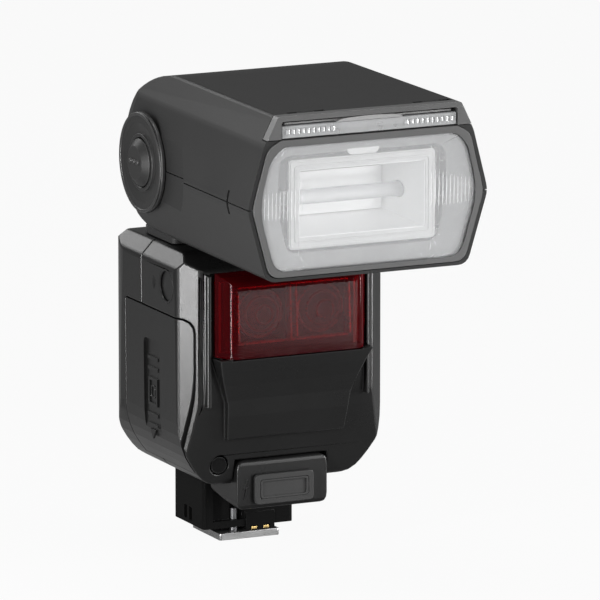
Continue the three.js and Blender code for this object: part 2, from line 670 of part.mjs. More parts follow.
function bodyBlock(inset, rear) {
  const faceBlock = prism(bodyFace(inset), Y, BODY_FRONT_Y, BODY_REAR_Y);
  const planBlock = prism(bodyPlan(inset, rear), Z, BODY_FLOOR, BODY_TOP);
  const sideBlock = prism(bodySide(inset, rear), X, -BODY_HALF, BODY_HALF);
  return faceBlock.intersect(planBlock).intersect(sideBlock);
}

// The brow under the window sweeps back into the front panel and narrows to a crease on each side.
function browBlock(inset) {
  const sweep = new THREE.Shape();
  sweep.moveTo(BODY_FRONT_Y + 6, WINDOW_FLOOR);
  sweep.lineTo(WINDOW_Y + inset, WINDOW_FLOOR);
  sweep.quadraticCurveTo(BODY_FRONT_Y - 2 + inset, 52, BODY_FRONT_Y - 0.8 + inset, BROW_TIP_Z - 4);
  sweep.lineTo(BODY_FRONT_Y + 1 + inset, BODY_LOW_Z + 2);
  sweep.lineTo(BODY_FRONT_Y + 6, BODY_LOW_Z + 2);
  sweep.closePath();
  const face = mirrored([
    [BROW_TIP_HALF - 1 - inset, BODY_LOW_Z],
    [BROW_TIP_HALF - inset, BROW_TIP_Z],
    [WINDOW_BACK_HALF - inset, WINDOW_FLOOR],
  ]);
  return prism(sweep, X, -40, 40).intersect(prism(face, Y, -60, 0));
}

// A raised rim each side of the window, with a groove between it and the corner bevel.
function frontRims() {
  return [-1, 1].map((side) => prism(outline([
    [side * (WINDOW_BACK_HALF + GAP), BODY_FRONT_Y + 1],
    [side * (WINDOW_BACK_HALF + GAP), BODY_FRONT_Y - 1.4],
    [side * (BROW_HALF - 0.4), BODY_FRONT_Y - 1.2],
    [side * BROW_HALF, BODY_FRONT_Y + 1],
  ]), Z, BODY_LOW_Z + 12, BODY_SHOULDER_Z - 1.2));
}

// The stretch of wall that the battery door takes up, on the left side round to the front bevel.
// Its front edge follows the body's front down, and the way below it is clear for the slide.
const doorSpace = (grow, drop = 0) => prism(outline([
  [BODY_FOOT_Y + 2 - grow, BODY_FLOOR - 2 - drop],
  [DOOR_REAR_Y + grow, BODY_FLOOR - 2 - drop],
  [DOOR_REAR_Y + grow, DOOR_TOP + grow - drop, 1],
  [DOOR_FRONT_Y - grow, DOOR_TOP + grow - drop, DOOR_CORNER],
  [DOOR_FRONT_Y - grow, 50 - drop, 6],
  [DOOR_FRONT_Y + 3 - grow, BODY_LOW_Z - drop, 4],
]), X, -40, DOOR_UNDER_X + grow);

function makeBodyShells() {
  const block = bodyBlock(0, BODY_REAR_Y);
  const hollow = bodyBlock(BODY_WALL, BODY_REAR_Y - REAR_WALL);
  const topPad = rod(TURNTABLE_R + 3, Z, BODY_TOP - 5, BODY_TOP - 1, [0, PAN_Y, 0]).intersect(block);
  const pocket = rod(TURNTABLE_R + GAP, Z, TURNTABLE_Z - GAP, 120, [0, PAN_Y, 0], 40);
  const spigotWay = rod(SPIGOT_R + GAP, Z, 0, 120, [0, PAN_Y, 0]);
  const windowWay = box(-WINDOW_HALF, WINDOW_HALF, -60, BODY_FRONT_Y + 6, WINDOW_FLOOR + 2, WINDOW_TOP);
  const windowSeat = cut(windowBlock(GAP), box(-60, 60, WINDOW_BACK_Y + 0.2, 60, 0, 200));
  const sensorHole = rod(LIGHT_SENSOR_R + GAP, Y, -60, 0, [LIGHT_SENSOR_X, 0, LIGHT_SENSOR_Z], 24);
  const remoteSeat = rod(REMOTE_R + GAP, X, -40, -BODY_HALF + 4, [0, REMOTE_Y, REMOTE_Z], 32);
  const terminalWay = box(-TERMINAL_HALF - GAP, TERMINAL_HALF + GAP, -60, TERMINAL_REAR_Y + GAP,
    0, TERMINAL_TOP + GAP);
  const shell = cut(join(block, browBlock(0), ...frontRims()), hollow, browBlock(BODY_WALL));
  const padded = join(shell, topPad);
  const opened = cut(padded, pocket, spigotWay, windowWay, windowSeat, sensorHole, remoteSeat,
    terminalWay, doorSpace(GAP), doorSpace(GAP, DOOR_SLIDE));
  const grooves = [-1, 1].map((side) => box(
    side * (BROW_HALF + 0.7) - 0.7, side * (BROW_HALF + 0.7) + 0.7,
    -60, BODY_FRONT_Y + 0.8, BODY_LOW_Z, BODY_SHOULDER_Z - 2));
  const front = opened.intersect(box(-60, 60, -60, BODY_SEAM_Y - SEAM, 0, 200));
  node("body_front_shell", cut(front, ...grooves), shellBlack);

  const rear = opened.intersect(box(-60, 60, BODY_SEAM_Y + SEAM, 60, 0, 200));
  node("body_rear_shell", cut(rear, ...rearHoles()), shellBlack);
}

// ---- Red window, lamps and sensors ----

function windowBlock(grow) {
  const plan = mirrored([
    [WINDOW_HALF + grow, WINDOW_Y - grow, 1.5],
    [WINDOW_BACK_HALF + grow, WINDOW_BACK_Y + 1],
    [WINDOW_BACK_HALF + grow, WINDOW_BACK_Y + 3],
  ]);
  const side = outline([
    [WINDOW_Y - grow, WINDOW_FLOOR - grow],
    [WINDOW_BACK_Y + 3, WINDOW_FLOOR - grow],
    [WINDOW_BACK_Y + 3, WINDOW_TOP_BACK + grow],
    [WINDOW_BACK_Y, WINDOW_TOP_BACK + grow],
    [WINDOW_Y - grow, WINDOW_TOP + grow, 2],
  ]);
  return prism(plan, Z, WINDOW_FLOOR - 5, WINDOW_TOP_BACK + 5)
    .intersect(prism(side, X, -40, 40))
    .intersect(box(-60, 60, -60, WINDOW_BACK_Y, 0, 200));
}

function makeWindowAndSensors() {
  const inside = windowBlock(-WINDOW_WALL);
  const openBack = box(-WINDOW_BACK_HALF + WINDOW_WALL + 0.4, WINDOW_BACK_HALF - WINDOW_WALL - 0.4,
    WINDOW_BACK_Y - 1.5, WINDOW_BACK_Y + 1, WINDOW_FLOOR + WINDOW_WALL, WINDOW_TOP);
  node("red_window", cut(windowBlock(0), inside, openBack), redGlass);

  // A frame behind the window carries two focus-assist lamps.
  const frameY = WINDOW_BACK_Y + GAP;
  const frame = box(-WINDOW_HALF + GAP, WINDOW_HALF - GAP, frameY, frameY + 3.6,
    WINDOW_FLOOR + 2 + GAP, WINDOW_TOP - GAP);
  const lampZ = (WINDOW_FLOOR + WINDOW_TOP) / 2 + 1;
  const ways = [-1, 1].map((side) =>
    rod(LAMP_R, Y, frameY - 1, frameY + 5, [side * LAMP_X, 0, lampZ], 32));
  node("lamp_frame", cut(frame, ...ways), darkPlastic);
  for (const [name, side] of [["focus_lamp_left", -1], ["focus_lamp_right", 1]]) {
    node(name, turned([
      [0, frameY - 3.4],
      [2.4, frameY - 3],
      [4.4, frameY - 1.8],
      [5.6, frameY - 0.2],
      [LAMP_R - GAP, frameY - 0.2],
      [LAMP_R - GAP, frameY + 3.4],
      [0, frameY + 3.4],
    ], Y, [side * LAMP_X, 0, lampZ], 32), clear);
  }

  const wallY = BODY_FRONT_Y + 4.3;
  node("light_sensor", rod(LIGHT_SENSOR_R, Y, wallY + 0.4, wallY + 3.4,
    [LIGHT_SENSOR_X, 0, LIGHT_SENSOR_Z], 24), darkPlastic);
  node("remote_sensor", rod(REMOTE_R, X, 0.6 - BODY_HALF, 2.6 - BODY_HALF,
    [0, REMOTE_Y, REMOTE_Z], 32), darkPlastic);
}

// ---- Power terminal ----

function makePowerTerminal() {
  const face = rectangle(-TERMINAL_HALF, TERMINAL_HALF, TERMINAL_FLOOR, TERMINAL_TOP, 3);
  const side = outline([
    [TERMINAL_FRONT_Y, TERMINAL_FLOOR, 1.5],
    [TERMINAL_REAR_Y, TERMINAL_FLOOR + 3, 2],
    [TERMINAL_REAR_Y, TERMINAL_TOP],
    [TERMINAL_FRONT_Y, TERMINAL_TOP, 1.5],
  ]);
  const housing = prism(face, Y, TERMINAL_FRONT_Y, TERMINAL_REAR_Y).intersect(prism(side, X, -40, 40));
  const bore = box(-SOCKET_HALF, SOCKET_HALF, -60, TERMINAL_REAR_Y - 4,
    SOCKET_Z - SOCKET_TALL / 2, SOCKET_Z + SOCKET_TALL / 2);
  node("power_terminal", cut(housing, bore), shellBlack);

  const insert = box(-SOCKET_HALF + GAP, SOCKET_HALF - GAP, TERMINAL_FRONT_Y + 5, TERMINAL_REAR_Y - 4.3,
    SOCKET_Z - SOCKET_TALL / 2 + GAP, SOCKET_Z + SOCKET_TALL / 2 - GAP);
  const pins = [-1, 0, 1].map((i) =>
    rod(0.8, Y, TERMINAL_FRONT_Y + 1.5, TERMINAL_FRONT_Y + 6, [i * 3.8, 0, SOCKET_Z], 16));
  node("power_socket", join(insert, ...pins), gold);

  const capBack = TERMINAL_FRONT_Y - GAP;
  const capFront = capBack - CAP_THICK;
  const lid = prism(rectangle(-CAP_HALF, CAP_HALF,
    SOCKET_Z - CAP_TALL / 2, SOCKET_Z + CAP_TALL / 2, 1.4), Y, capFront, capBack);
  const frameIn = prism(rectangle(-CAP_HALF + 1.6, CAP_HALF - 1.6,
    SOCKET_Z - CAP_TALL / 2 + 1.6, SOCKET_Z + CAP_TALL / 2 - 1.6, 0.8), Y, capFront - 1, capFront + 0.4);
  node("terminal_cap", cut(lid, frameIn), rubber);
}

// ---- Battery bay ----

function makeDoor() {
  const wall = cut(bodyBlock(0, BODY_REAR_Y), bodyBlock(BODY_WALL, BODY_REAR_Y - REAR_WALL));
  const skin = wall.intersect(doorSpace(0));
  const recess = prism(rectangle(RECESS_Y - RECESS_HALF, RECESS_Y + RECESS_HALF,
    RECESS_LOW, RECESS_HIGH, 1.6), X, -40, -BODY_HALF + RECESS_DEEP);
  const ribZ = [RECESS_LOW + 5.4, RECESS_LOW + 8.4, RECESS_HIGH - 5.4, RECESS_HIGH - 8.4];
  const ribs = ribZ.map((z) => box(-BODY_HALF + 0.6, -BODY_HALF + RECESS_DEEP + 0.2,
    RECESS_Y - 3.4, RECESS_Y + 3.4, z - 0.5, z + 0.5));
  const midZ = (RECESS_LOW + RECESS_HIGH) / 2;
  const badge = cut(
    box(-BODY_HALF + 0.6, -BODY_HALF + RECESS_DEEP + 0.2, RECESS_Y - 3, RECESS_Y + 3,
      midZ - 4, midZ + 4),
    box(-BODY_HALF - 1, -BODY_HALF + RECESS_DEEP - 0.1, RECESS_Y - 2.2, RECESS_Y + 2.2,
      midZ - 3.2, midZ + 3.2));
  node("battery_door", join(cut(skin, recess), ...ribs, badge), shellBlack);
  const contactX = -BODY_HALF + BODY_WALL + 0.7;
  node("door_contact", box(contactX, contactX + 0.8, BAY_Y - 13, BAY_Y + 13,
    BAY_Z - 7, BAY_Z + 13), steel);

  const barX = BODY_WALL + 1.2 - BODY_HALF;
  const barY = DOOR_REAR_Y + 3 * GAP;
  node("door_slide_bar", box(barX, barX + 1.6, barY, barY + 2.4, BAY_Z - 6, BAY_Z + 20), steel);
}

function makeBattery() {
  const half = CELL_PITCH / 2 + CELL_R + 0.5;
  const right = BAY_LEFT + CELL_LONG + 2.8;
  const reach = half + BAY_WALL;
  const base = BAY_Z - reach;
  const roof = BAY_Z + reach;
  const outer = box(BAY_LEFT, right + BAY_WALL, BAY_Y - reach, BAY_Y + reach, base, roof);
  const inner = box(BAY_LEFT - 1, right, BAY_Y - half, BAY_Y + half, BAY_Z - half, BAY_Z + half);
  const feet = [-18, 18].map((x) => box(x - 3, x + 3, BAY_Y - 8, BAY_Y + 8,
    BODY_FLOOR + BODY_WALL + GAP, base + 0.5));
  const saddleWay = rod(CAPACITOR_R + GAP, X, -40, 40, [0, BAY_Y, CAPACITOR_Z]);
  const saddles = [-14, 14].map((x) => cut(
    box(x - 2, x + 2, BAY_Y - 8, BAY_Y + 8, roof - 0.5, CAPACITOR_Z - 4), saddleWay));
  const posts = [-20, 20].map((x) =>
    box(x - 2, x + 2, BAY_Y + reach - 0.5, BOARD_Y - GAP, BAY_Z - 4, BAY_Z + 4));
  const fits = bodyBlock(BODY_WALL + GAP, BODY_REAR_Y - REAR_WALL - GAP);
  const bay = join(cut(outer, inner), ...feet, ...saddles, ...posts);
  node("battery_bay", bay.intersect(fits), darkPlastic);

  for (const [i, dy] of [[0, -1], [1, 1]]) {
    for (const [j, dz] of [[0, -1], [1, 1]]) {
      const at = [BAY_LEFT + 1.6, BAY_Y + (dy * CELL_PITCH) / 2, BAY_Z + (dz * CELL_PITCH) / 2];
      const cell = turned([
        [0, 0], [CELL_R, 0], [CELL_R, CELL_LONG - 1.2], [2.7, CELL_LONG - 1.2],
        [2.7, CELL_LONG], [0, CELL_LONG],
      ], X, at, 32);
      node("cell_" + (1 + 2 * i + j), cell, steel);
    }
  }
  const stripX = BAY_LEFT + 1.6 + CELL_LONG + GAP;
  node("bay_contact", box(stripX, right - GAP, BAY_Y - half + 1, BAY_Y + half - 1,
    BAY_Z - half + 1, BAY_Z + half - 1), steel);

  node("flash_capacitor", rod(CAPACITOR_R, X, -CAPACITOR_LONG / 2, CAPACITOR_LONG / 2,
    [0, BAY_Y, CAPACITOR_Z]), darkPlastic);
}

// ---- Rear panel ----

// The keys round the dial: name, centre x, centre z, half width.
const KEYS = [
  ["menu_key", -20, 45.5, KEY_HALF],
  ["info_key", 20, 45.5, KEY_HALF],
  ["test_key", 0, 49.4, 4.6],
];
const SWITCH = [20, 31];

function rearHoles() {
  const inner = BODY_REAR_Y - REAR_WALL - 1;
  const keyWays = KEYS.map(([, x, z, half]) => prism(rectangle(
    x - half - GAP, x + half + GAP, z - KEY_TALL / 2 - GAP, z + KEY_TALL / 2 + GAP, 1.2), Y, inner, 40));
  const lcdSeat = prism(rectangle(-LCD_HALF - 2 - GAP, LCD_HALF + 2 + GAP,
    LCD_LOW - 2 - GAP, LCD_HIGH + 2 + GAP, 1.5), Y, BODY_REAR_Y - 1.4 - GAP, 40);
  const lcdWay = box(-LCD_HALF, LCD_HALF, inner, 40, LCD_LOW, LCD_HIGH);
  const dialSeat = rod(DIAL_R + GAP, Y, BODY_REAR_Y - DIAL_SET_IN - GAP, 40, [0, 0, DIAL_Z]);
  const okWay = rod(DIAL_BORE_R - 2 * GAP, Y, inner, 40, [0, 0, DIAL_Z], 32);
  const switchSeat = rod(SWITCH_R + GAP, Y, BODY_REAR_Y - DIAL_SET_IN - GAP, 40,
    [SWITCH[0], 0, SWITCH[1]], 32);
  return [...keyWays, lcdSeat, lcdWay, dialSeat, okWay, switchSeat];
}

function makeRearPanel() {
  const board = box(-25, 25, BOARD_Y, BOARD_Y + BOARD_THICK, 30, 82);
  node("main_board", board, boardGreen);
  const boardBack = BOARD_Y + BOARD_THICK;
  const display = box(-LCD_HALF + GAP, LCD_HALF - GAP, boardBack + GAP, BODY_REAR_Y - 1,
    LCD_LOW + GAP, LCD_HIGH - GAP);
  const glass = prism(rectangle(-LCD_HALF - 2, LCD_HALF + 2, LCD_LOW - 2, LCD_HIGH + 2, 1.5),
    Y, BODY_REAR_Y - 1.4, BODY_REAR_Y);
  node("lcd_panel", join(display, glass), finish(0x101418, 0.1));

  const stemIn = boardBack + 1;
  for (const [name, x, z, half] of KEYS) {
    node(name, prism(rectangle(x - half, x + half, z - KEY_TALL / 2, z + KEY_TALL / 2, 1),
      Y, stemIn, BODY_REAR_Y + CONTROL_PROUD), shellBlack);
  }
  node("ok_key", rod(DIAL_BORE_R - 3 * GAP, Y, stemIn, BODY_REAR_Y + CONTROL_PROUD,
    [0, 0, DIAL_Z], 32), shellBlack);

  const dialIn = BODY_REAR_Y - DIAL_SET_IN;
  const dialOut = BODY_REAR_Y + CONTROL_PROUD;
  const ring = cut(
    rod(DIAL_R, Y, dialIn, dialOut, [0, 0, DIAL_Z]),
    rod(DIAL_BORE_R, Y, dialIn - 1, dialOut + 1, [0, 0, DIAL_Z], 32));
  const flutes = Array.from({ length: 20 }, (_, i) => {
    const angle = (i * 2 * Math.PI) / 20;
    return rod(0.5, Y, dialIn + 0.6, dialOut + 1,
      [DIAL_R * Math.cos(angle), 0, DIAL_Z + DIAL_R * Math.sin(angle)], 6);
  });
  node("selector_dial", cut(ring, ...flutes), darkPlastic);

  const [sx, sz] = SWITCH;
  const knob = rod(SWITCH_R, Y, dialIn, BODY_REAR_Y + 0.1, [sx, 0, sz], 32);
  const grip = box(sx - 0.9, sx + 0.9, BODY_REAR_Y - 0.2, dialOut + 0.1,
    sz - SWITCH_R + 0.4, sz + SWITCH_R - 0.4);
  node("power_switch", join(knob, grip), shellBlack);
}

// ---- Foot ----

function makeFoot() {
  const leverSlot = join(
    rod(LEVER_R + GAP, Z, LEVER_Z - GAP, LEVER_Z + LEVER_THICK + GAP, [LEVER_X, LEVER_Y, 0], 32),
    box(-BLOCK_HALF + 3, LEVER_X + LEVER_R + GAP, LEVER_Y - 2.6, BLOCK_REAR_Y + 1,
      LEVER_Z - GAP, LEVER_Z + LEVER_THICK + GAP));
  const block = prism(rectangle(-BLOCK_HALF, BLOCK_HALF, BLOCK_FRONT_Y, BLOCK_REAR_Y, 1.2),
    Z, BLOCK_LOW, BODY_FLOOR - GAP);
  const riser = box(-FOOT_HALF + 2, FOOT_HALF - 2, BLOCK_FRONT_Y + 3, BLOCK_REAR_Y - 4,
    FOOT_THICK + GAP, BLOCK_LOW + 0.5);
  const frontHollow = box(-BLOCK_HALF + 3, CONTACT_X - CONTACT_HALF - GAP,
    BLOCK_FRONT_Y - 1, BLOCK_FRONT_Y + 2, BLOCK_LOW + 2, BODY_FLOOR - 3);
  const contactFin = box(CONTACT_X - CONTACT_HALF, CONTACT_X + CONTACT_HALF, BLOCK_FRONT_Y - 0.4,
    BLOCK_FRONT_Y + 4, FOOT_THICK + GAP, BLOCK_LOW + 4);
  const tipWays = [-1, 1].map((side) => box(
    CONTACT_X + side * 1.9 - 1.2, CONTACT_X + side * 1.9 + 1.2, BLOCK_FRONT_Y - 1, BLOCK_FRONT_Y + 1.2,
    0, FOOT_THICK + GAP + 1.1));
  const pinWay = rod(PIN_R + GAP, Z, 0, LEVER_Z + 1, [-CONTACT_X, PIN_Y, 0], 16);
  const sideSlots = [0, 3.4].map((dy) => box(-BLOCK_HALF - 1, -BLOCK_HALF + 1.4,
    -0.6 + dy, 1.4 + dy, BLOCK_LOW + 1, BLOCK_LOW + 5));
  const footCuts = [leverSlot, frontHollow, ...tipWays, pinWay, ...sideSlots];
  node("foot_block", cut(join(block, riser, contactFin), ...footCuts), shellBlack);

  const plate = prism(rectangle(-FOOT_HALF, FOOT_HALF, -FOOT_REACH, FOOT_REACH, 0.6), Z, 0, FOOT_THICK);
  const pinHole = rod(PIN_R + GAP, Z, -1, FOOT_THICK + 1, [-CONTACT_X, PIN_Y, 0], 16);
  node("shoe_foot", cut(plate, pinHole), steel);

  for (const [name, side] of [["contact_left", -1], ["contact_right", 1]]) {
    const x = CONTACT_X + side * 1.9;
    node(name, box(x - 0.9, x + 0.9, BLOCK_FRONT_Y - 0.2, BLOCK_FRONT_Y + 0.9,
      FOOT_THICK + GAP, FOOT_THICK + GAP + 0.8), gold);
  }

  node("lock_pin", rod(PIN_R, Z, FOOT_THICK - 0.4, LEVER_Z - 1, [-CONTACT_X, PIN_Y, 0], 16), steel);
  const arm = prism(outline([
    [LEVER_X - 2.4, LEVER_Y],
    [LEVER_X + 2.4, LEVER_Y],
    [LEVER_X + 2, BLOCK_REAR_Y + 3.2, 1.2],
    [LEVER_X - 2, BLOCK_REAR_Y + 3.2, 1.2],
  ]), Z, LEVER_Z, LEVER_Z + LEVER_THICK);
  const boss = rod(LEVER_R, Z, LEVER_Z, LEVER_Z + LEVER_THICK, [LEVER_X, LEVER_Y, 0], 32);
  node("lock_lever", join(arm, boss), shellBlack);
}

makeHeadShells();
makePanelAndCard();
makeZoomWorks();
makeFan();
makeTiltJoint();
makeBodyShells();
makeWindowAndSensors();
makePowerTerminal();
makeDoor();
makeBattery();
makeRearPanel();
makeFoot();

export default group;
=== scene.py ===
import math

import bmesh
import bpy
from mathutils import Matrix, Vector


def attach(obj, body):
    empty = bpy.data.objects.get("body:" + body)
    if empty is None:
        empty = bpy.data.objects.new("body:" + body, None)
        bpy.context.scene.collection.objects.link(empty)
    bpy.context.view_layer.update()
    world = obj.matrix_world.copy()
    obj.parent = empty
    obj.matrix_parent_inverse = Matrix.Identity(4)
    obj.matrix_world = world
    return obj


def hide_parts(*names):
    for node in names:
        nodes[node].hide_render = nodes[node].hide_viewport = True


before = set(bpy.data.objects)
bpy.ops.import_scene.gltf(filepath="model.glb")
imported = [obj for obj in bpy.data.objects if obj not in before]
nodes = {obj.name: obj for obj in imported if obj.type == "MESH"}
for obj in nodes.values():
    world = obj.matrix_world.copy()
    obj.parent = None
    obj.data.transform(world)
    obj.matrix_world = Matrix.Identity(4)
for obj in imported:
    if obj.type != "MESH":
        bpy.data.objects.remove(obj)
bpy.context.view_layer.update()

# ---- Camera, floor and light ----
# A long lens stands off to the front left and a little above the flash. The flash stands on a plain
# pale floor between soft boxes, with a narrow one at the left that picks out the moulded edges.

LOOK_AT = Vector((0.020223, 0, 0.065444))
CAMERA_AWAY = 2.5
AZIMUTH = math.radians(-25.15)
ELEVATION = math.radians(11.708)
LENS_MM = 527.2

camera = bpy.data.objects.new("camera", bpy.data.cameras.new("camera"))
bpy.context.collection.objects.link(camera)
bpy.context.scene.camera = camera
towards = Vector((
    math.sin(AZIMUTH) * math.cos(ELEVATION),
    -math.cos(AZIMUTH) * math.cos(ELEVATION),
    math.sin(ELEVATION),
))
camera.location = LOOK_AT + towards * CAMERA_AWAY
camera.rotation_euler = (-towards).to_track_quat("-Z", "Y").to_euler()
camera.data.lens = LENS_MM
camera.data.sensor_width = 36
camera.data.clip_start = 0.05
camera.data.clip_end = 50
bpy.context.scene.view_settings.view_transform = "Standard"


class Value:
    """A socket of a material, so that its maths reads as an expression."""

    def __init__(self, finish, socket):
        self.finish = finish
        self.socket = socket

    def maths(self, operation, *values, clamp=False):
        settings = {"operation": operation, "use_clamp": clamp}
        return self.finish.node("ShaderNodeMath", settings, dict(enumerate(values)))

    def __add__(self, other):
        return self.maths("ADD", self, other)

    def __radd__(self, other):
        return self.maths("ADD", other, self)

    def __sub__(self, other):
        return self.maths("SUBTRACT", self, other)

    def __rsub__(self, other):
        return self.maths("SUBTRACT", other, self)

    def __mul__(self, other):
        return self.maths("MULTIPLY", self, other)

    def __rmul__(self, other):
        return self.maths("MULTIPLY", other, self)

    def __gt__(self, other):
        return self.maths("GREATER_THAN", self, other)

    def __lt__(self, other):
        return self.maths("LESS_THAN", self, other)

    def limited(self):
        return self.maths("ADD", self, 0, clamp=True)

    def wave(self):
        return self.maths("SINE", self)

    def folded(self):
        return self.maths("ABSOLUTE", self)


class Finish:
    """A material with one glossy shader, whose constants are set on its own sockets."""

    def __init__(self, name, **constants):
        self.material = bpy.data.materials.new(name)
        self.material.use_nodes = True
        self.tree = self.material.node_tree
        self.shader = self.tree.nodes["Principled BSDF"]
        for socket, value in constants.items():
            self.shader.inputs[socket.replace("_", " ")].default_value = value

    def node(self, kind, settings, sockets, output=0):
        made = self.tree.nodes.new(kind)
        for key, value in settings.items():
            setattr(made, key, value)
        for key, value in sockets.items():
            if isinstance(value, Value):
                self.tree.links.new(value.socket, made.inputs[key])
            else:
                made.inputs[key].default_value = value
        return Value(self, made.outputs[output])

    def place(self):
        return self.node("ShaderNodeTexCoord", {}, {}, "Object")

    def axis(self, letter):
        return self.node("ShaderNodeSeparateXYZ", {}, {0: self.place()}, letter)

    def stretched(self, x, y, z):
        return self.node("ShaderNodeVectorMath", {"operation": "MULTIPLY"},
                         {0: self.place(), 1: (x, y, z)})

    def noise(self, scale, detail=2.0, rough=0.5, where=None):
        sockets = {"Vector": where or self.place(), "Scale": scale, "Detail": detail,
                   "Roughness": rough}
        return self.node("ShaderNodeTexNoise", {}, sockets)

    def blend(self, factor, first, second):
        return self.node("ShaderNodeMix", {"data_type": "RGBA"},
                         {0: factor, 6: first, 7: second}, 2)

    def feed(self, socket, value):
        self.tree.links.new(value.socket, self.shader.inputs[socket])

    def bump(self, height, strength, distance):
        sockets = {"Height": height, "Strength": strength, "Distance": distance}
        self.feed("Normal", self.node("ShaderNodeBump", {}, sockets))

    def mix_in(self, factor, shader):
        """Mixes another shader over the glossy one, as far as factor says."""
        lit = Value(self, self.shader.outputs[0])
        mixed = self.node("ShaderNodeMixShader", {}, {0: factor, 1: lit, 2: shader})
        self.tree.links.new(mixed.socket, self.tree.nodes["Material Output"].inputs["Surface"])


def grey(level, red=1.0, green=1.0, blue=1.0):
    return (level * red, level * green, level * blue, 1)


floor_paper = Finish("floor_paper", Base_Color=grey(0.16), Roughness=0.9)
rays = [floor_paper.node("ShaderNodeLightPath", {}, {}, kind)
        for kind in ("Is Camera Ray", "Is Glossy Ray", "Is Transmission Ray")]
plain_white = floor_paper.node("ShaderNodeEmission", {}, {"Color": grey(1), "Strength": 1.0})
floor_paper.mix_in((rays[0] + rays[1] * 0.18 + rays[2]).limited() * 0.94, plain_white)
floor_shape = bmesh.new()
bmesh.ops.create_grid(floor_shape, x_segments=8, y_segments=8, size=8)
floor_mesh = bpy.data.meshes.new("floor")
floor_shape.to_mesh(floor_mesh)
floor_shape.free()
floor_mesh.materials.append(floor_paper.material)
floor = bpy.data.objects.new("floor", floor_mesh)
bpy.context.collection.objects.link(floor)

world = bpy.data.worlds.new("studio")
world.use_nodes = True
bpy.context.scene.world = world
sky = world.node_tree
lit_background = sky.nodes["Background"]
lit_background.inputs["Color"].default_value = (1, 1, 1, 1)
lit_background.inputs["Strength"].default_value = 0.22
plain_background = sky.nodes.new("ShaderNodeBackground")
plain_background.inputs["Color"].default_value = (1, 1, 1, 1)
plain_background.inputs["Strength"].default_value = 1.0
ray = sky.nodes.new("ShaderNodeLightPath")
either = sky.nodes.new("ShaderNodeMath")
either.operation = "MAXIMUM"
sky.links.new(ray.outputs["Is Camera Ray"], either.inputs[0])
sky.links.new(ray.outputs["Is Transmission Ray"], either.inputs[1])
choose = sky.nodes.new("ShaderNodeMixShader")
sky.links.new(either.outputs[0], choose.inputs[0])
sky.links.new(lit_background.outputs[0], choose.inputs[1])
sky.links.new(plain_background.outputs[0], choose.inputs[2])
sky.links.new(choose.outputs[0], sky.nodes["World Output"].inputs["Surface"])

SOFT_BOXES = {  # name: place, width, height, watts
    "overhead": ((0.0, 0.0, 1.1), 0.7, 0.5, 9),
    "left_strip": ((-0.24, -0.13, 0.09), 0.03, 0.24, 1.7),
    "right_strip": ((0.4, -0.2, 0.1), 0.1, 0.2, 3),
    "front_right": ((0.7, -1.0, 0.45), 0.4, 0.7, 9),
    "low_front": ((0.15, -0.3, 0.02), 0.1, 0.04, 0.1),
    "front_left": ((-0.3, -1.2, 0.7), 0.3, 0.3, 6),
    "behind": ((-0.35, 0.9, 0.55), 0.5, 0.3, 2.2),
}
for name, (place, wide, high, watts) in SOFT_BOXES.items():
    lamp = bpy.data.lights.new(name, "AREA")
    lamp.shape = "RECTANGLE"
    lamp.size = wide
    lamp.size_y = high
    lamp.energy = watts
    stand = bpy.data.objects.new(name, lamp)
    stand.location = place
    aim = Vector((0, -0.03, 0.08)) - Vector(place)
    stand.rotation_euler = aim.to_track_quat("-Z", "Y").to_euler()
    bpy.context.collection.objects.link(stand)

# ---- Shells of the head ----
# Two moulded halves in black glass-filled nylon, screwed together along the side seam. The mould
# was spark-eroded, so the outside has a fine even grain that rubs smooth along the edges; the
# paler colour there is partly wear and partly a painted highlight.

HEAD_BLACK = 0.012
HEAD_EDGE = 0.0006
HEAD_CREASE = math.radians(10.5)


def surface_group(name):
    """An empty geometry node group with the geometry passing through its nodes in turn."""
    group = bpy.data.node_groups.new(name, "GeometryNodeTree")
    for way in ("INPUT", "OUTPUT"):
        group.interface.new_socket("Geometry", in_out=way, socket_type="NodeSocketGeometry")
    return group, group.nodes.new("NodeGroupInput"), group.nodes.new("NodeGroupOutput")


bare_surface, start, end = surface_group("bare_surface")
drop = bare_surface.nodes.new("GeometryNodeRemoveAttribute")
drop.inputs["Name"].default_value = "custom_normal"
weld = bare_surface.nodes.new("GeometryNodeMergeByDistance")
weld.inputs["Distance"].default_value = 1e-6
bare_surface.links.new(start.outputs[0], drop.inputs[0])
bare_surface.links.new(drop.outputs[0], weld.inputs[0])
bare_surface.links.new(weld.outputs[0], end.inputs[0])

smooth_surface, start, end = surface_group("smooth_surface")
area = smooth_surface.nodes.new("GeometryNodeInputMeshFaceArea")
broad = smooth_surface.nodes.new("FunctionNodeCompare")
broad.inputs[1].default_value = 2e-5
margin = smooth_surface.nodes.new("GeometryNodeExtrudeMesh")
margin.inputs["Individual"].default_value = True
margin.inputs["Offset Scale"].default_value = 0
draw_in = smooth_surface.nodes.new("GeometryNodeScaleElements")
draw_in.inputs["Scale"].default_value = 0.996
smooth = smooth_surface.nodes.new("GeometryNodeSetShadeSmooth")
sharp = smooth_surface.nodes.new("GeometryNodeSetShadeSmooth")
sharp.domain = "EDGE"
sharp.inputs["Shade Smooth"].default_value = False
turn = smooth_surface.nodes.new("GeometryNodeInputMeshEdgeAngle")
steep = smooth_surface.nodes.new("FunctionNodeCompare")
steep.inputs[1].default_value = math.radians(48)
smooth_surface.links.new(area.outputs[0], broad.inputs[0])
smooth_surface.links.new(start.outputs[0], margin.inputs["Mesh"])
smooth_surface.links.new(broad.outputs[0], margin.inputs["Selection"])
smooth_surface.links.new(margin.outputs["Mesh"], draw_in.inputs["Geometry"])
smooth_surface.links.new(margin.outputs["Top"], draw_in.inputs["Selection"])
smooth_surface.links.new(draw_in.outputs[0], smooth.inputs[0])
smooth_surface.links.new(smooth.outputs[0], sharp.inputs[0])
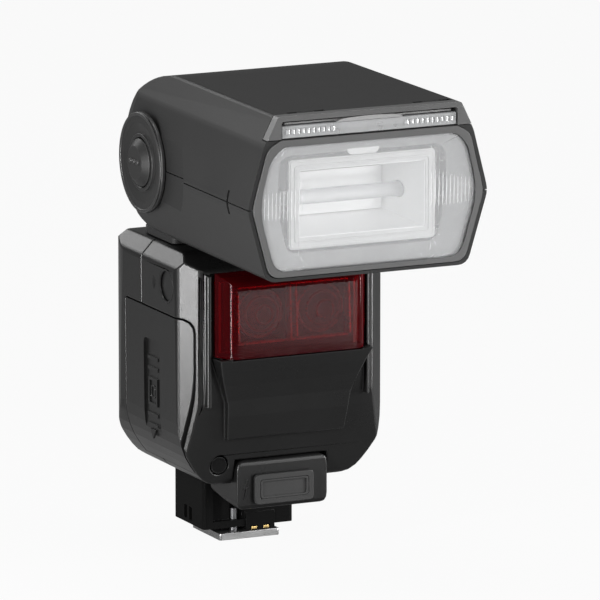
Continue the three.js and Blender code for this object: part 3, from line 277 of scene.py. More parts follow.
smooth_surface.links.new(turn.outputs[0], steep.inputs[0])
smooth_surface.links.new(steep.outputs[0], sharp.inputs["Selection"])
smooth_surface.links.new(sharp.outputs[0], end.inputs[0])


def soften(piece, width, crease=math.radians(25), segments=2, even=False):
    """Rounds a part's edges as its mould does, and keeps its flat faces flat."""
    piece.modifiers.new("bare", "NODES").node_group = bare_surface
    faces = piece.modifiers.new("faces", "DECIMATE")
    faces.decimate_type = "DISSOLVE"
    faces.angle_limit = math.radians(0.5)
    edge = piece.modifiers.new("edge", "BEVEL")
    edge.width = width
    edge.segments = segments
    edge.limit_method = "ANGLE"
    edge.angle_limit = crease
    edge.use_clamp_overlap = not even
    piece.modifiers.new("smooth", "NODES").node_group = smooth_surface
    flats = piece.modifiers.new("flats", "WEIGHTED_NORMAL")
    flats.keep_sharp = True
    flats.weight = 80


def coat(piece, finish):
    """Gives a part of the frame one finish, on its object's own slots."""
    for slot in piece.material_slots:
        slot.link = "OBJECT"
        slot.material = finish.material


# Past this turn an edge gets a glossier coat and a paler colour: partly wear, partly a painted
# highlight.
WEAR_AND_SHEEN_TURN = 0.9965  # how far an edge turns before handling polishes it, as a cosine
WEAR_AND_SHEEN_RATE = 200


def grained_plastic(name, colour, roughness, gloss=0.08, grain=2400, depth=0.00005, wear=0.5):
    """Moulded plastic with a spark-eroded grain, faint handling marks and polished edges, whose paler
    colour is partly wear and partly a painted highlight.
    """
    made = Finish(name, Specular_IOR_Level=gloss, Coat_Roughness=0.3)
    fine = made.noise(grain, 3, 0.6)
    broad = made.noise(45, 2)
    shown = made.node("ShaderNodeNewGeometry", {}, {}, "Normal")
    true = made.node("ShaderNodeNewGeometry", {}, {}, "True Normal")
    level = made.node("ShaderNodeVectorMath", {"operation": "DOT_PRODUCT"}, {0: shown, 1: true}, 1)
    wear_and_sheen = ((WEAR_AND_SHEEN_TURN - level) * WEAR_AND_SHEEN_RATE).limited() * wear
    made.feed("Coat Weight", wear_and_sheen)
    shade = made.blend(broad, grey(colour * 0.85), grey(colour * 1.15))
    # Along the edges the colour turns paler: partly rubbed wear, partly a painted highlight.
    made.feed("Base Color", made.blend(wear_and_sheen, shade, grey(colour * 2 + 0.012)))
    made.feed("Roughness", roughness + (broad - 0.5) * 0.1 + (fine - 0.5) * 0.1 - wear_and_sheen * 0.1)
    made.bump(fine, 0.3, depth)
    return made


head_plastic = grained_plastic("head_plastic", HEAD_BLACK, 0.42, gloss=0.18, wear=0.25)
for name in ("head_upper_shell", "head_lower_shell"):
    soften(nodes[name], HEAD_EDGE, HEAD_CREASE)
    coat(nodes[name], head_plastic)


def rounded(points, steps=5):
    """A closed outline through (u, v, corner radius) points, in millimetres."""
    path = []
    for i, (u, v, radius) in enumerate(points):
        here = Vector((u, v))
        if not radius:
            path.append(here)
            continue
        into = here + (Vector(points[i - 1][:2]) - here).normalized() * radius
        out = here + (Vector(points[(i + 1) % len(points)][:2]) - here).normalized() * radius
        for k in range(steps + 1):
            t = k / steps
            path.append((1 - t) ** 2 * into + 2 * t * (1 - t) * here + t * t * out)
    return path


def oblong(u0, u1, v0, v1, radius, steps=5):
    return rounded([(u0, v0, radius), (u1, v0, radius), (u1, v1, radius), (u0, v1, radius)], steps)


def on_front(u, v, depth):
    return (u, depth, v)


def on_side(u, v, depth):
    return (depth, u, v)


def on_top(u, v, depth):
    return (u, v, depth)


def walls(shape, rings):
    """Joins rings of points, one after another, with faces."""
    for first, second in zip(rings, rings[1:]):
        for i in range(len(first)):
            shape.faces.new((first[i - 1], first[i], second[i], second[i - 1]))


def slab(path, side, near, far):
    """An outline pushed from one depth to another."""
    shape = bmesh.new()
    rings = [[shape.verts.new(side(u, v, depth)) for u, v in path] for depth in (near, far)]
    walls(shape, rings)
    shape.faces.new(rings[0])
    shape.faces.new(rings[1])
    return shape


def hoop(outer, inner, side, near, far):
    """A frame between two outlines of as many points, pushed from one depth to another."""
    shape = bmesh.new()
    rings = [[shape.verts.new(side(u, v, depth)) for u, v in path]
             for path, depth in ((outer, near), (outer, far), (inner, far), (inner, near))]
    walls(shape, rings + rings[:1])
    return shape


def turned(profile, side, at, steps=48, hollow=False):
    """A profile of (radius, depth) points turned about an axis through at; hollow makes a ring."""
    shape = bmesh.new()
    rings = []
    for radius, depth in profile:
        angles = [2 * math.pi * i / steps for i in range(steps)]
        rings.append([shape.verts.new(side(at[0] + radius * math.cos(a),
                                           at[1] + radius * math.sin(a), depth))
                      for a in angles])
    if hollow:
        walls(shape, rings + rings[:1])
    else:
        walls(shape, rings)
        shape.faces.new(rings[0])
        shape.faces.new(rings[-1])
    return shape


def joined(shapes):
    """Several shapes as one."""
    whole = bmesh.new()
    for shape in shapes:
        part = bpy.data.meshes.new("part")
        shape.to_mesh(part)
        shape.free()
        whole.from_mesh(part)
        bpy.data.meshes.remove(part)
    return whole


def fit(name, shape, body, finish, width=0.0):
    """Makes a shape in millimetres into a part that moves with a body."""
    bmesh.ops.recalc_face_normals(shape, faces=shape.faces)
    bmesh.ops.scale(shape, vec=(0.001, 0.001, 0.001), verts=shape.verts)
    mesh = bpy.data.meshes.new(name)
    shape.to_mesh(mesh)
    shape.free()
    mesh.materials.append(finish.material)
    made = bpy.data.objects.new(name, mesh)
    bpy.context.collection.objects.link(made)
    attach(made, body)
    if width:
        soften(made, width)
    else:
        made.modifiers.new("smooth", "NODES").node_group = smooth_surface
    return made


# Two small catches sit in notches at the front edge of the roof.
for name, x in (("roof_catch_left", -17.5), ("roof_catch_right", 20.5)):
    catch = joined([
        slab(oblong(x - 5.2, x + 5.2, -83.9, -82.7, 0.3), on_top, 136.0, 136.55),
        slab(oblong(x - 2.6, x + 2.6, -83.9, -83.0, 0.3), on_top, 136.3, 136.95),
    ])
    fit(name, catch, "head", head_plastic, 0.0001)

# ---- Front bezel ----
# A two-piece frame in a greyer plastic, pushed over the front of the shells. Its rim is well
# rounded, and the line between its two pieces runs above the lens.

bezel_plastic = grained_plastic("bezel_plastic", 0.06, 0.36, gloss=0.25, wear=0.6)
for name in ("front_bezel_upper", "front_bezel_lower"):
    soften(nodes[name], 0.0006, HEAD_CREASE, 3)
    coat(nodes[name], bezel_plastic)

# ---- Lens ----
# A moulded clear acrylic pane. Its back has upright ribs at both ends and a fine cross pattern in
# the middle that spreads the light, and its outline is rounded over to fit the bezel.

LENS_PATH = [(28.6, 93, 4), (33.7, 111.4, 6), (30.4, 125, 2.4), (26.8, 128.9, 2.2)]
LENS_LEAN = 1.5 / 46.2  # how far the front leans back for each millimetre down
LENS_TOP_Y = -87.78
LENS_TOP_Z = 129.5
LENS_ROUND = 1.2  # how far in from the outline the front is rounded over
LENS_ROUND_DEEP = 0.7
LENS_THICK = 1.5
RIB_FROM = 19.5
RIB_PITCH = 1.15
RIB_DEEP = 0.42
CROSS_DEEP = 0.18


def clear_plastic(name, haze, roughness, pattern, glints, tint=0.86):
    """Clear plastic: a see-through shader with a gloss over it, hazier where a pattern is."""
    made = Finish(name, Base_Color=grey(tint, 0.99, 1, 1.01), IOR=1.49)
    ripple = pattern(made)
    fine = made.noise(900, 2)
    made.feed("Roughness", roughness + (fine - 0.5) * 0.06)
    made.bump(ripple, glints, 0.0003)
    rim = made.node("ShaderNodeFresnel", {}, {"IOR": 1.4})
    clear = made.node("ShaderNodeBsdfTransparent", {}, {"Color": grey(0.97)})
    made.mix_in((1 - haze - ripple * 0.12 - rim * 0.9).limited(), clear)
    return made


def cross_pattern(finish):
    x, z = finish.axis("X"), finish.axis("Z")
    slant = ((x + z * 0.45) * 9200).wave() * ((z - x * 0.2) * 9800).wave()
    return (slant * 0.5 + 0.5).limited()


lens_plastic = clear_plastic("lens_plastic", 0.1, 0.12, cross_pattern, 0.35)


def half_width(outline, z):
    """Half the width of an outline, even left and right, at a height."""
    best = 0
    for (u0, v0), (u1, v1) in zip(outline, outline[1:]):
        if min(v0, v1) <= z <= max(v0, v1) and abs(v1 - v0) > 1e-9:
            best = max(best, u0 + (u1 - u0) * (z - v0) / (v1 - v0))
    return best


lens_right = rounded(LENS_PATH + [(-u, v, r) for u, v, r in reversed(LENS_PATH)], 8)
lens_right = [p for p in lens_right if p[0] > 0]
low = min(p[1] for p in lens_right)
high = max(p[1] for p in lens_right)
COLUMNS, ROWS = 380, 26
lens_shape = bmesh.new()
sheets = []
for back in (False, True):
    grid = []
    for row in range(ROWS + 1):
        t = 0.5 - 0.5 * math.cos(math.pi * row / ROWS)
        z = low + 0.02 + (high - low - 0.04) * t
        half = half_width(lens_right, z)
        line = []
        for column in range(COLUMNS + 1):
            x = half * (2 * column / COLUMNS - 1)
            inset = min(half - abs(x), z - low, high - z)
            y = LENS_TOP_Y + (LENS_TOP_Z - z) * LENS_LEAN
            if back:
                wave = abs((abs(x) - RIB_FROM) / RIB_PITCH % 1 - 0.5) * 2
                y += LENS_THICK - (RIB_DEEP * wave if abs(x) > RIB_FROM else CROSS_DEEP)
            else:
                y += LENS_ROUND_DEEP * max(0, 1 - inset / LENS_ROUND) ** 2
            line.append(lens_shape.verts.new((x, y, z)))
        grid.append(line)
    sheets.append(grid)
for grid in sheets:
    for first, second in zip(grid, grid[1:]):
        for i in range(COLUMNS):
            lens_shape.faces.new((first[i], first[i + 1], second[i + 1], second[i]))
edges = [grid[0] + [line[-1] for line in grid[1:-1]] + grid[-1][::-1]
         + [line[0] for line in grid[-2:0:-1]] for grid in sheets]
walls(lens_shape, edges)
lens = fit("lens_pane", lens_shape, "head", lens_plastic)
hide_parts("fresnel_lens")

# ---- Wide panel and bounce card ----
# Above the lens two sheets pull out of a slot: a clear panel whose front lip has saw-tooth prisms
# at both ends, and over it a white card with a grey lip for the finger in the middle.


def plain(finish):
    return finish.noise(300, 2)


panel_plastic = clear_plastic("panel_plastic", 0.34, 0.16, plain, 0.1, tint=0.5)
soften(nodes["wide_panel"], 0.0002)
coat(nodes["wide_panel"], panel_plastic)

PRISM_FROM = 11.2
PRISM_PITCH = 1.5
prisms = []
for side in (-1, 1):
    for i in range(10):
        x = side * (PRISM_FROM + i * PRISM_PITCH)
        tooth = rounded([(x - 0.7, -87.85, 0), (x, -88.2, 0.15), (x + 0.7, -87.85, 0)], 2)
        prisms.append(slab(tooth, on_top, 131.9, 133.1))
fit("panel_prisms", joined(prisms), "diffuser", panel_plastic)

CARD_GREY_TO = -0.0858  # the grey of the lip ends here; metres

white_card = Finish("white_card", Specular_IOR_Level=0.4)
fibre = white_card.noise(700, 3)
card_front = white_card.axis("Y") < CARD_GREY_TO
card_white = white_card.blend(fibre, grey(0.78), grey(0.86))
white_card.feed("Base Color", white_card.blend(card_front, card_white, grey(0.16)))
white_card.feed("Roughness", 0.5 + fibre * 0.15)
white_card.bump(fibre, 0.15, 0.00005)
soften(nodes["bounce_card"], 0.00015)
coat(nodes["bounce_card"], white_card)

lip_plastic = grained_plastic("lip_plastic", 0.2, 0.38, wear=0.2)
lip = rounded([(-10.2, 134.2, 0.4), (10.2, 134.2, 0.4), (8.6, 135.0, 1.2), (0, 135.45, 4),
               (-8.6, 135.0, 1.2)], 6)
fit("card_lip", slab(lip, on_front, -88.18, -86.0), "card", lip_plastic, 0.0002)

# ---- Reflector and flash tube ----
# A bright bowl of pressed and polished aluminium sits behind the lens round a glass tube filled with
# xenon. A white frame round its mouth and a white lining behind the bezel keep stray light in.

polished = Finish("polished_bowl", Metallic=0.35)
haze = polished.noise(500, 3, where=polished.stretched(0.2, 1, 3))
polished.feed("Base Color", polished.blend(haze, grey(0.93), grey(1)))
polished.feed("Roughness", 0.25 + haze * 0.2)
polished.bump(haze, 0.12, 0.0001)
coat(nodes["reflector"], polished)

white_plastic = Finish("white_plastic", Specular_IOR_Level=0.45)
cloud = white_plastic.noise(120, 2)
speck = white_plastic.noise(2500, 2)
white_plastic.feed("Base Color", white_plastic.blend(cloud, grey(0.66), grey(0.76)))
white_plastic.feed("Roughness", 0.42 + speck * 0.12)
white_plastic.bump(speck, 0.15, 0.00005)

lining_plastic = grained_plastic("lining_plastic", 0.2, 0.45, gloss=0.4, wear=0)

mouth = oblong(-19.2, 19.2, 101.8, 120.6, 0.8)
flange = oblong(-22.2, 22.2, 98.6, 123.6, 1.2)
step = oblong(-20.6, 20.6, 100.4, 122, 1.0)
frames = [
    hoop(flange, mouth, on_front, -83.2, -82.5),
    hoop(step, oblong(-20.1, 20.1, 100.9, 121.5, 0.9), on_front, -83.6, -83.1),
    hoop(oblong(-21.8, 21.8, 99.0, 123.2, 1.1), oblong(-21.4, 21.4, 99.4, 122.8, 1.0),
         on_front, -83.5, -83.1),
]
fit("bowl_frame", joined(frames), "zoom", white_plastic, 0.00012)

LINING_LEAN = LENS_LEAN * 0.6

lining_out = rounded([(28.1, 93.5, 4), (33.0, 111.4, 6), (29.8, 124.8, 2.4), (26.3, 128.4, 2.2),
                      (-26.3, 128.4, 2.2), (-29.8, 124.8, 2.4), (-33.0, 111.4, 6),
                      (-28.1, 93.5, 4)], 6)
lining_in = rounded([(22.6, 97.6, 3), (26.0, 111.4, 8), (25.2, 123.6, 1.8), (22.8, 124.9, 1.6),
                     (-22.8, 124.9, 1.6), (-25.2, 123.6, 1.8), (-26.0, 111.4, 8),
                     (-22.6, 97.6, 3)], 6)
lining_shape = bmesh.new()
lining_rings = [[lining_shape.verts.new((u, depth + (LENS_TOP_Z - v) * LINING_LEAN, v))
                 for u, v in path]
                for path, depth in ((lining_out, -85.4), (lining_in, -83.6), (lining_in, -83.2),
                                    (lining_out, -84.8))]
walls(lining_shape, lining_rings + lining_rings[:1])
fit("lens_lining", lining_shape, "head", lining_plastic)

tab = rounded([(-5.6, 128.2, 0.4), (5.6, 128.2, 0.4), (4.4, 123.9, 1.2), (-4.4, 123.9, 1.2)])
fit("lining_tab", slab(tab, on_front, -83.9, -83.3), "head", white_card, 0.0001)

tube_glass = clear_plastic("tube_glass", 0.25, 0.06, plain, 0.05)
soften(nodes["flash_tube"], 0.0003)
coat(nodes["flash_tube"], tube_glass)

# ---- Zoom works and fan ----
# Behind the bowl a black nylon carriage runs on two ground steel rods, driven by a lead screw and a
# small motor in a fixed frame. A fan beside the motor blows air over the tube.

inner_plastic = grained_plastic("inner_plastic", 0.012, 0.5, grain=1800, wear=0.3)
for name in ("zoom_carriage", "zoom_frame", "fan_frame", "fan_rotor"):
    soften(nodes[name], 0.00012)
    coat(nodes[name], inner_plastic)


def worked_metal(name, colour, roughness, stretch, wear=0.3):
    """Bare metal with fine lines along its working, and duller patches from handling."""
    made = Finish(name, Metallic=1.0)
    lines = made.noise(1500, 3, where=made.stretched(*stretch))
    patch = made.noise(90, 3)
    dull = tuple(c * 0.82 for c in colour[:3]) + (1,)
    made.feed("Base Color", made.blend(patch * wear + lines * 0.2, colour, dull))
    made.feed("Roughness", roughness + lines * 0.12 + (patch - 0.5) * 0.14)
    made.bump(lines, 0.08, 0.00005)
    return made


ground_steel = worked_metal("ground_steel", (0.7, 0.71, 0.72, 1), 0.2, (1, 0.05, 1))
for name in ("guide_rod_left", "guide_rod_right", "zoom_motor", "tilt_axle", "pivot_plate_left",
             "pivot_plate_right", "swivel_retainer"):
    soften(nodes[name], 0.0002)
    coat(nodes[name], ground_steel)

thread_steel = Finish("thread_steel", Metallic=1.0, Base_Color=(0.6, 0.61, 0.62, 1))
along = thread_steel.axis("Y")
ridge = (along * 7800).wave() * 0.5 + 0.5
thread_steel.feed("Roughness", 0.25 + ridge * 0.15)
thread_steel.bump(ridge, 0.6, 0.0003)
soften(nodes["zoom_screw"], 0.0002)
coat(nodes["zoom_screw"], thread_steel)

# ---- Tilt joint ----
# The head nods on a hollow drum. A round cap closes each side; the left one carries the lock button,
# a blunt cone with three raised dots that the thumb presses to free the head.

for name, width in (("hub_cap_left", 0.0002), ("hub_cap_right", 0.0002), ("swivel_yoke", 0.0002),
                    ("tilt_release_button", 0.0006)):
    soften(nodes[name], width)
    coat(nodes[name], head_plastic)

TILT_AXIS = (-11.8, 111.8)
DOT_PITCH = 2.3
DOT_Z = 112.2
dots = []
for i in (-1, 0, 1):
    at = (TILT_AXIS[0] + i * DOT_PITCH, DOT_Z)
    dots.append(turned([(0.78, -36.4), (0.72, -36.75), (0.5, -37.02), (0.18, -37.12)],
                       on_side, at, 20))
fit("release_dots", joined(dots), "tilt_release", head_plastic)
rim_path = [(13.9, -34.55), (14.15, -34.75), (14.0, -34.95), (13.5, -35.02), (13.2, -34.85),
            (13.1, -34.5)]
hub_rim = turned(rim_path, on_side, TILT_AXIS, 96, hollow=True)
fit("hub_rim_left", hub_rim, "head", head_plastic)

# ---- Shells of the body ----
# Front and rear halves in the same black nylon as the head, with a seam down each side. The front
# is polished a little smoother, so that its brow and the long side bevels carry soft highlights.

shell_plastic = grained_plastic("shell_plastic", 0.004, 0.3, gloss=0.26, wear=0.15)
for name in ("body_front_shell", "body_rear_shell", "power_terminal", "lock_lever"):
    soften(nodes[name], 0.0004, math.radians(18), even=True)
    coat(nodes[name], shell_plastic)

# ---- Red window and focus lamps ----
# A deep red acrylic cover, open at the back. Behind it two small lamps with polished bowls throw a
# pattern for focusing in the dark, each between thin upright walls of a black frame.

WINDOW_TINT = (0.55, 0.012, 0.03, 1)

red_acrylic = Finish("red_acrylic", Base_Color=(0.1, 0.003, 0.006, 1), IOR=1.49)
swirl = red_acrylic.noise(160, 2)
red_acrylic.feed("Roughness", 0.05 + swirl * 0.08)
red_acrylic.bump(swirl, 0.03, 0.0002)
red_rim = red_acrylic.node("ShaderNodeFresnel", {}, {"IOR": 1.49})
red_clear = red_acrylic.node("ShaderNodeBsdfTransparent", {}, {"Color": WINDOW_TINT})
red_acrylic.mix_in((0.93 - swirl * 0.05 - red_rim * 0.9).limited(), red_clear)
soften(nodes["red_window"], 0.0004)
coat(nodes["red_window"], red_acrylic)

soften(nodes["lamp_frame"], 0.0002)
coat(nodes["lamp_frame"], inner_plastic)

lamp_clear = clear_plastic("lamp_clear", 0.12, 0.05, plain, 0.05)
mirror = worked_metal("lamp_mirror", (0.95, 0.95, 0.96, 1), 0.22, (1, 1, 1), wear=0.1)
LAMP_OUT = 9.4
LAMP_Z = 71.3
LAMP_FACE = -36.4
for side, name in ((-1, "left"), (1, "right")):
    cover = nodes["focus_lamp_" + name]
    soften(cover, 0.0002)
    coat(cover, lamp_clear)
    at = (side * LAMP_OUT, LAMP_Z)
    rings = [turned([(r, y), (r + 0.35, y - 0.25), (r + 0.7, y), (r + 0.35, y + 0.3)],
                    on_front, at, 40, hollow=True)
             for r, y in ((6.5, LAMP_FACE), (4.6, -37.9), (2.2, -39.6))]
    fit("lamp_bowl_" + name, joined(rings), "body", mirror)

fins = []
for x, y0, z0, z1 in ((-17.2, -40.2, 63.5, 79), (-1.2, -40.2, 63.0, 80), (1.0, -39.4, 63.0, 80),
                      (17.0, -40.2, 63.5, 79)):
    fin = rounded([(y0, z0, 1), (LAMP_FACE, z0, 0), (LAMP_FACE, z1, 0), (y0 + 1, z1, 1.5)], 3)
    fins.append(slab(fin, on_side, x - 0.25, x + 0.25))
for z in (63.2, 79.2):
    fins.append(slab(oblong(-17, 17, z - 0.25, z + 0.25, 0.1, 2), on_front, -38.6, LAMP_FACE))
fit("lamp_fins", joined(fins), "body", mirror, 0.00008)

# ---- Sensors ----
# Two black plastic discs pressed into holes in the body: a shell-black one on the side for the remote
# trigger, in a thin raised ring with three embossed arcs beside it, and a small dull one under the
# front panel that reads the light. The near-black of that small one is partly its own dark window
# and partly painted shade of its recess.

# This dull near-black finish is painted shade: partly the sensor's own dark window and partly the
# shade of its recess, and on the foot block it stands for shadow.
black_with_painted_shade = grained_plastic("black_with_painted_shade", 0.003, 0.5, gloss=0.03, wear=0.4)
for name, finish in (("light_sensor", black_with_painted_shade), ("remote_sensor", shell_plastic)):
    soften(nodes[name], 0.0003)
    coat(nodes[name], finish)

BODY_SIDE = -32.0
REMOTE_AT = (-23, 78.3)
ring_path = [(4.15, -31.7), (4.3, BODY_SIDE), (4.75, BODY_SIDE), (4.95, -31.7)]
ring = turned(ring_path, on_side, REMOTE_AT, 64, hollow=True)
fit("remote_ring", ring, "body", shell_plastic)

ARC_Y, ARC_Z = -16.2, 78
ARC_HALF = 0.14  # half the width of each line
arcs = []
for radius in (0.9, 1.6, 2.3):
    outer, inner = [], []
    for k in range(9):
        a = math.radians(-50 + 100 * k / 8)
        for path, reach in ((outer, radius + ARC_HALF), (inner, radius - ARC_HALF)):
            path.append((ARC_Y + reach * math.cos(a), ARC_Z + reach * math.sin(a)))
    arcs.append(slab([Vector(p) for p in outer + inner[::-1]], on_side, BODY_SIDE, -31.6))
fit("remote_mark", joined(arcs), "body", shell_plastic)

# ---- Power terminal ----
# A moulded nose under the front panel holds a three-pin socket for a battery pack. A soft rubber cap
# with a raised frame closes it, and a small embossed bolt stands beside the cap.

rubber = Finish("cap_rubber", Specular_IOR_Level=0.3)
dust = rubber.noise(900, 4, 0.7)
patch = rubber.noise(70, 2)
rubber.feed("Base Color", rubber.blend(patch, grey(0.007), grey(0.014)))
rubber.feed("Roughness", 0.5 + dust * 0.2)
rubber.bump(dust, 0.2, 0.00008)
soften(nodes["terminal_cap"], 0.0003)
coat(nodes["terminal_cap"], rubber)

cap_out = oblong(-7.4, 7.4, 16.9, 22.3, 0.9)
cap_in = oblong(-6.8, 6.8, 17.5, 21.7, 0.6)
fit("cap_frame", hoop(cap_out, cap_in, on_front, -33.0, -32.5), "cap", rubber, 0.00012)

bolt = [(-11.2, 22.6), (-12.2, 19.6), (-11.35, 19.9), (-12.0, 16.8), (-10.6, 20.4), (-11.4, 20.2),
        (-10.7, 22.4)]
fit("bolt_mark", slab([Vector(p) for p in bolt], on_front, -31.65, -31.3), "body", shell_plastic,
    0.00004)

gilt = worked_metal("gilt", (0.86, 0.62, 0.25, 1), 0.2, (1, 1, 0.2))
for name in ("power_socket", "contact_left", "contact_right"):
    soften(nodes[name], 0.0001)
    coat(nodes[name], gilt)

# ---- Battery door ----
# The side door slides down and swings out on a bar. Its sunk grip has four ribs, a framed catch mark
# and an arrow that shows which way to push, and a raised bead follows its front edge.

soften(nodes["battery_door"], 0.00025, math.radians(18))
coat(nodes["battery_door"], shell_plastic)

arrow = rounded([(-14.4, 35.2, 0.1), (-12.5, 32.4, 0.2), (-10.6, 35.2, 0.1)], 2)
catch_mark = [
    slab(arrow, on_side, -31.35, -30.8),
    hoop(oblong(-14.0, -11.0, 44.2, 47.8, 0.8), oblong(-13.6, -11.4, 44.6, 47.4, 0.6),
         on_side, -31.3, -30.85),
]
fit("door_marks", joined(catch_mark), "door", shell_plastic, 0.00004)

# ---- Batteries and their bay ----
# Four AA cells lie in a black nylon bay across the body, on spring strips of plated steel. Above them
# hangs the big capacitor that holds the charge for the flash, and behind stands the circuit board.

soften(nodes["battery_bay"], 0.0002)
coat(nodes["battery_bay"], inner_plastic)

plated = worked_metal("plated_steel", (0.74, 0.73, 0.7, 1), 0.24, (0.1, 1, 1))
for name in ("bay_contact", "door_contact", "door_slide_bar"):
    soften(nodes[name], 0.0002)
    coat(nodes[name], plated)

cell_wrap = Finish("cell_wrap", Specular_IOR_Level=0.5)
BAND_FROM, BAND_TO, CAP_FROM = 0.008, 0.0215, 0.0217  # along a cell, in metres
x = cell_wrap.axis("X")
band = (x > BAND_FROM) * (x < BAND_TO)
cap_end = x > CAP_FROM
print_grain = cell_wrap.noise(400, 2)
wrap = cell_wrap.blend(band, (0.012, 0.014, 0.02, 1), (0.42, 0.2, 0.05, 1))
tinted = cell_wrap.blend(print_grain * 0.2, wrap, grey(0.08))
cell_wrap.feed("Base Color", cell_wrap.blend(cap_end, tinted, grey(0.7)))
cell_wrap.feed("Metallic", (band * 0.7 + cap_end).limited())
cell_wrap.feed("Roughness", 0.25 + print_grain * 0.15)
for i in (1, 2, 3, 4):
    soften(nodes["cell_%d" % i], 0.0003)
    coat(nodes["cell_%d" % i], cell_wrap)

sleeve = Finish("capacitor_sleeve", Specular_IOR_Level=0.5)
stripe = sleeve.axis("Z") > 0.079
wrinkle = sleeve.noise(250, 3)
sleeve.feed("Base Color", sleeve.blend(stripe, (0.01, 0.011, 0.014, 1), grey(0.3)))
sleeve.feed("Roughness", 0.28 + wrinkle * 0.15)
sleeve.bump(wrinkle, 0.1, 0.0001)
soften(nodes["flash_capacitor"], 0.0006)
coat(nodes["flash_capacitor"], sleeve)

board = Finish("board_green", Specular_IOR_Level=0.5)
x, z = board.axis("X"), board.axis("Z")
upright = (x * 2600).wave() > 0.8
tracks = upright.maths("MAXIMUM", upright, (z * 2100).wave() > 0.85)
pads = board.node("ShaderNodeTexVoronoi", {}, {"Vector": board.place(), "Scale": 420.0}) < 0.16
lacquer = board.blend(tracks, (0.008, 0.06, 0.025, 1), (0.02, 0.13, 0.05, 1))
board.feed("Base Color", board.blend(pads, lacquer, (0.72, 0.66, 0.5, 1)))
board.feed("Metallic", pads * 0.9)
board.feed("Roughness", 0.42 - pads * 0.15 + board.noise(300) * 0.1)
soften(nodes["main_board"], 0.0001)
coat(nodes["main_board"], board)

# ---- Rear panel ----
# The back carries the display behind hard glass, a fluted selector dial round a key, three more
# keys and the power switch. The marks on them are embossed in the plastic and hold no words.

glass = Finish("display_glass", IOR=1.5, Coat_Roughness=0.03)
x, z = glass.axis("X"), glass.axis("Z")
inside = (x.folded() < 0.0195) * (z > 0.0558) * (z < 0.0772)
fine = glass.noise(800, 2)
cells = ((x * 15000).wave() * (z * 15000).wave()) > 0.2
panel_grey = glass.blend(cells * 0.3, (0.10, 0.115, 0.10, 1), (0.085, 0.10, 0.088, 1))
glass.feed("Base Color", glass.blend(inside, grey(0.004), panel_grey))
glass.feed("Roughness", 0.06 + inside * 0.1 + fine * 0.04)
glass.feed("Coat Weight", 0.7 + fine * 0.3)
soften(nodes["lcd_panel"], 0.0003)
coat(nodes["lcd_panel"], glass)

key_plastic = grained_plastic("key_plastic", 0.016, 0.5, grain=2000, wear=0.6)
for name in ("menu_key", "info_key", "test_key", "ok_key", "power_switch"):
    soften(nodes[name], 0.0003)
    coat(nodes[name], key_plastic)

dial_plastic = grained_plastic("dial_plastic", 0.014, 0.38, wear=0.8)
soften(nodes["selector_dial"], 0.00015)
coat(nodes["selector_dial"], dial_plastic)

mark_paint = Finish("mark_paint", Specular_IOR_Level=0.4)
rub = mark_paint.noise(1200, 3)
mark_paint.feed("Base Color", mark_paint.blend((rub - 0.55).limited(), grey(0.72), grey(0.4)))
mark_paint.feed("Roughness", 0.5 + rub * 0.1)
mark_paint.bump(rub, 0.1, 0.00003)

KEY_FACE = 16.0
SWITCH_FACE = 16.1
MARK_IN = 15.9
MARK_OUT = 16.06
DIAL_MARK_OUT = 16.05
DIAL_AT = (0, 36)
DIAL_DOTS_R = 7.1


def bar(x0, x1, z0, z1, face=KEY_FACE):
    return slab(oblong(x0, x1, z0, z1, 0.15, 2), on_front, face - 0.1, face + 0.06)


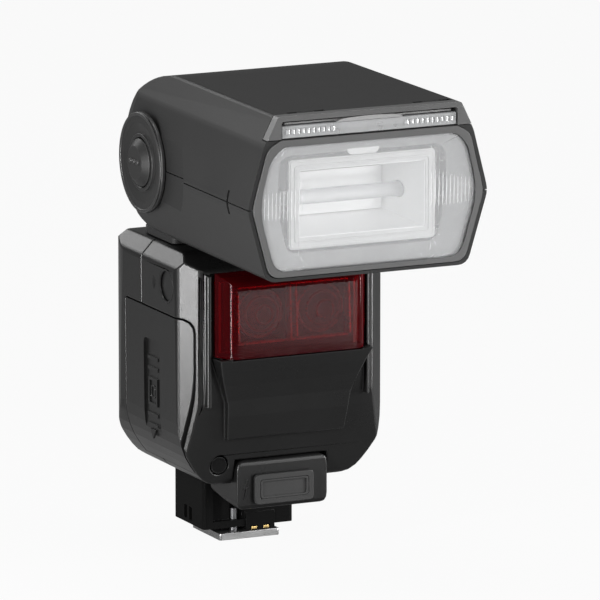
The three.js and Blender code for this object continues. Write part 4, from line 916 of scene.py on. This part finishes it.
menu_bars = [bar(-21.6, -18.4, 45.5 + dz - 0.2, 45.5 + dz + 0.2) for dz in (-0.9, 0, 0.9)]
fit("menu_mark", joined(menu_bars), "menu", mark_paint)
info_dot = turned([(0.42, MARK_IN), (0.42, MARK_OUT)], on_front, (20, 46.6), 16)
fit("info_mark", joined([info_dot, bar(19.6, 20.4, 44.2, 45.9)]), "info", mark_paint)
flash_bolt = [(0.5, 50.7), (-1.2, 49.2), (-0.1, 49.3), (-0.6, 48.1), (1.2, 49.7), (0.1, 49.6)]
test_bolt = slab([Vector(p) for p in flash_bolt], on_front, MARK_IN, MARK_OUT)
fit("test_mark", test_bolt, "test", mark_paint)
ok_path = [(0.9, MARK_IN), (0.9, DIAL_MARK_OUT), (0.55, DIAL_MARK_OUT), (0.55, MARK_IN)]
ok_ring = turned(ok_path, on_front, DIAL_AT, 28, hollow=True)
fit("ok_mark", ok_ring, "ok", mark_paint)
dial_dots = []
for i in range(4):
    a = math.radians(90 * i)
    at = (DIAL_DOTS_R * math.cos(a), DIAL_AT[1] + DIAL_DOTS_R * math.sin(a))
    dial_dots.append(turned([(0.38, MARK_IN), (0.38, DIAL_MARK_OUT)], on_front, at, 12))
fit("dial_marks", joined(dial_dots), "dial", mark_paint)
switch_line = bar(19.75, 20.25, 32.6, 34.6, SWITCH_FACE)
fit("switch_mark", switch_line, "switch", mark_paint)

# ---- Foot ----
# A bright stamped and ground steel plate slides into the camera's shoe under a black block with
# gilt contacts. A thumb lever turns at the rear and drops a blackened steel pin that locks the foot.

foot_steel = worked_metal("foot_steel", (0.42, 0.42, 0.42, 1), 0.24, (0.06, 1, 1))
soften(nodes["shoe_foot"], 0.00025)
coat(nodes["shoe_foot"], foot_steel)

dark_steel = worked_metal("dark_steel", (0.16, 0.16, 0.165, 1), 0.4, (1, 1, 0.2))
soften(nodes["lock_pin"], 0.0002)
coat(nodes["lock_pin"], dark_steel)

# The block's dull near-black finish is painted shade: it sits low by the floor, in shadow.
soften(nodes["foot_block"], 0.0003, math.radians(18))
coat(nodes["foot_block"], black_with_painted_shade)

screws = []
for x in (-11.4, 11.4):
    for y in (-5.6, 8.6):
        head = turned([(1.5, 3.45), (1.4, 3.2), (0.9, 3.12)], on_top, (x, y), 24)
        cross = [slab(oblong(x - a, x + a, y - b, y + b, 0.1, 2), on_top, 3.05, 3.15)
                 for a, b in ((0.85, 0.16), (0.16, 0.85))]
        screws.append(joined([head] + cross))
fit("foot_screws", joined(screws), "body", plated)

grips = [slab(oblong(4 - 1.7, 4 + 1.7, y - 0.2, y + 0.2, 0.12, 2), on_top, 12.4, 12.75)
         for y in (12.4, 13.2, 14.0)]
fit("lever_ribs", joined(grips), "lever", shell_plastic, 0.00005)
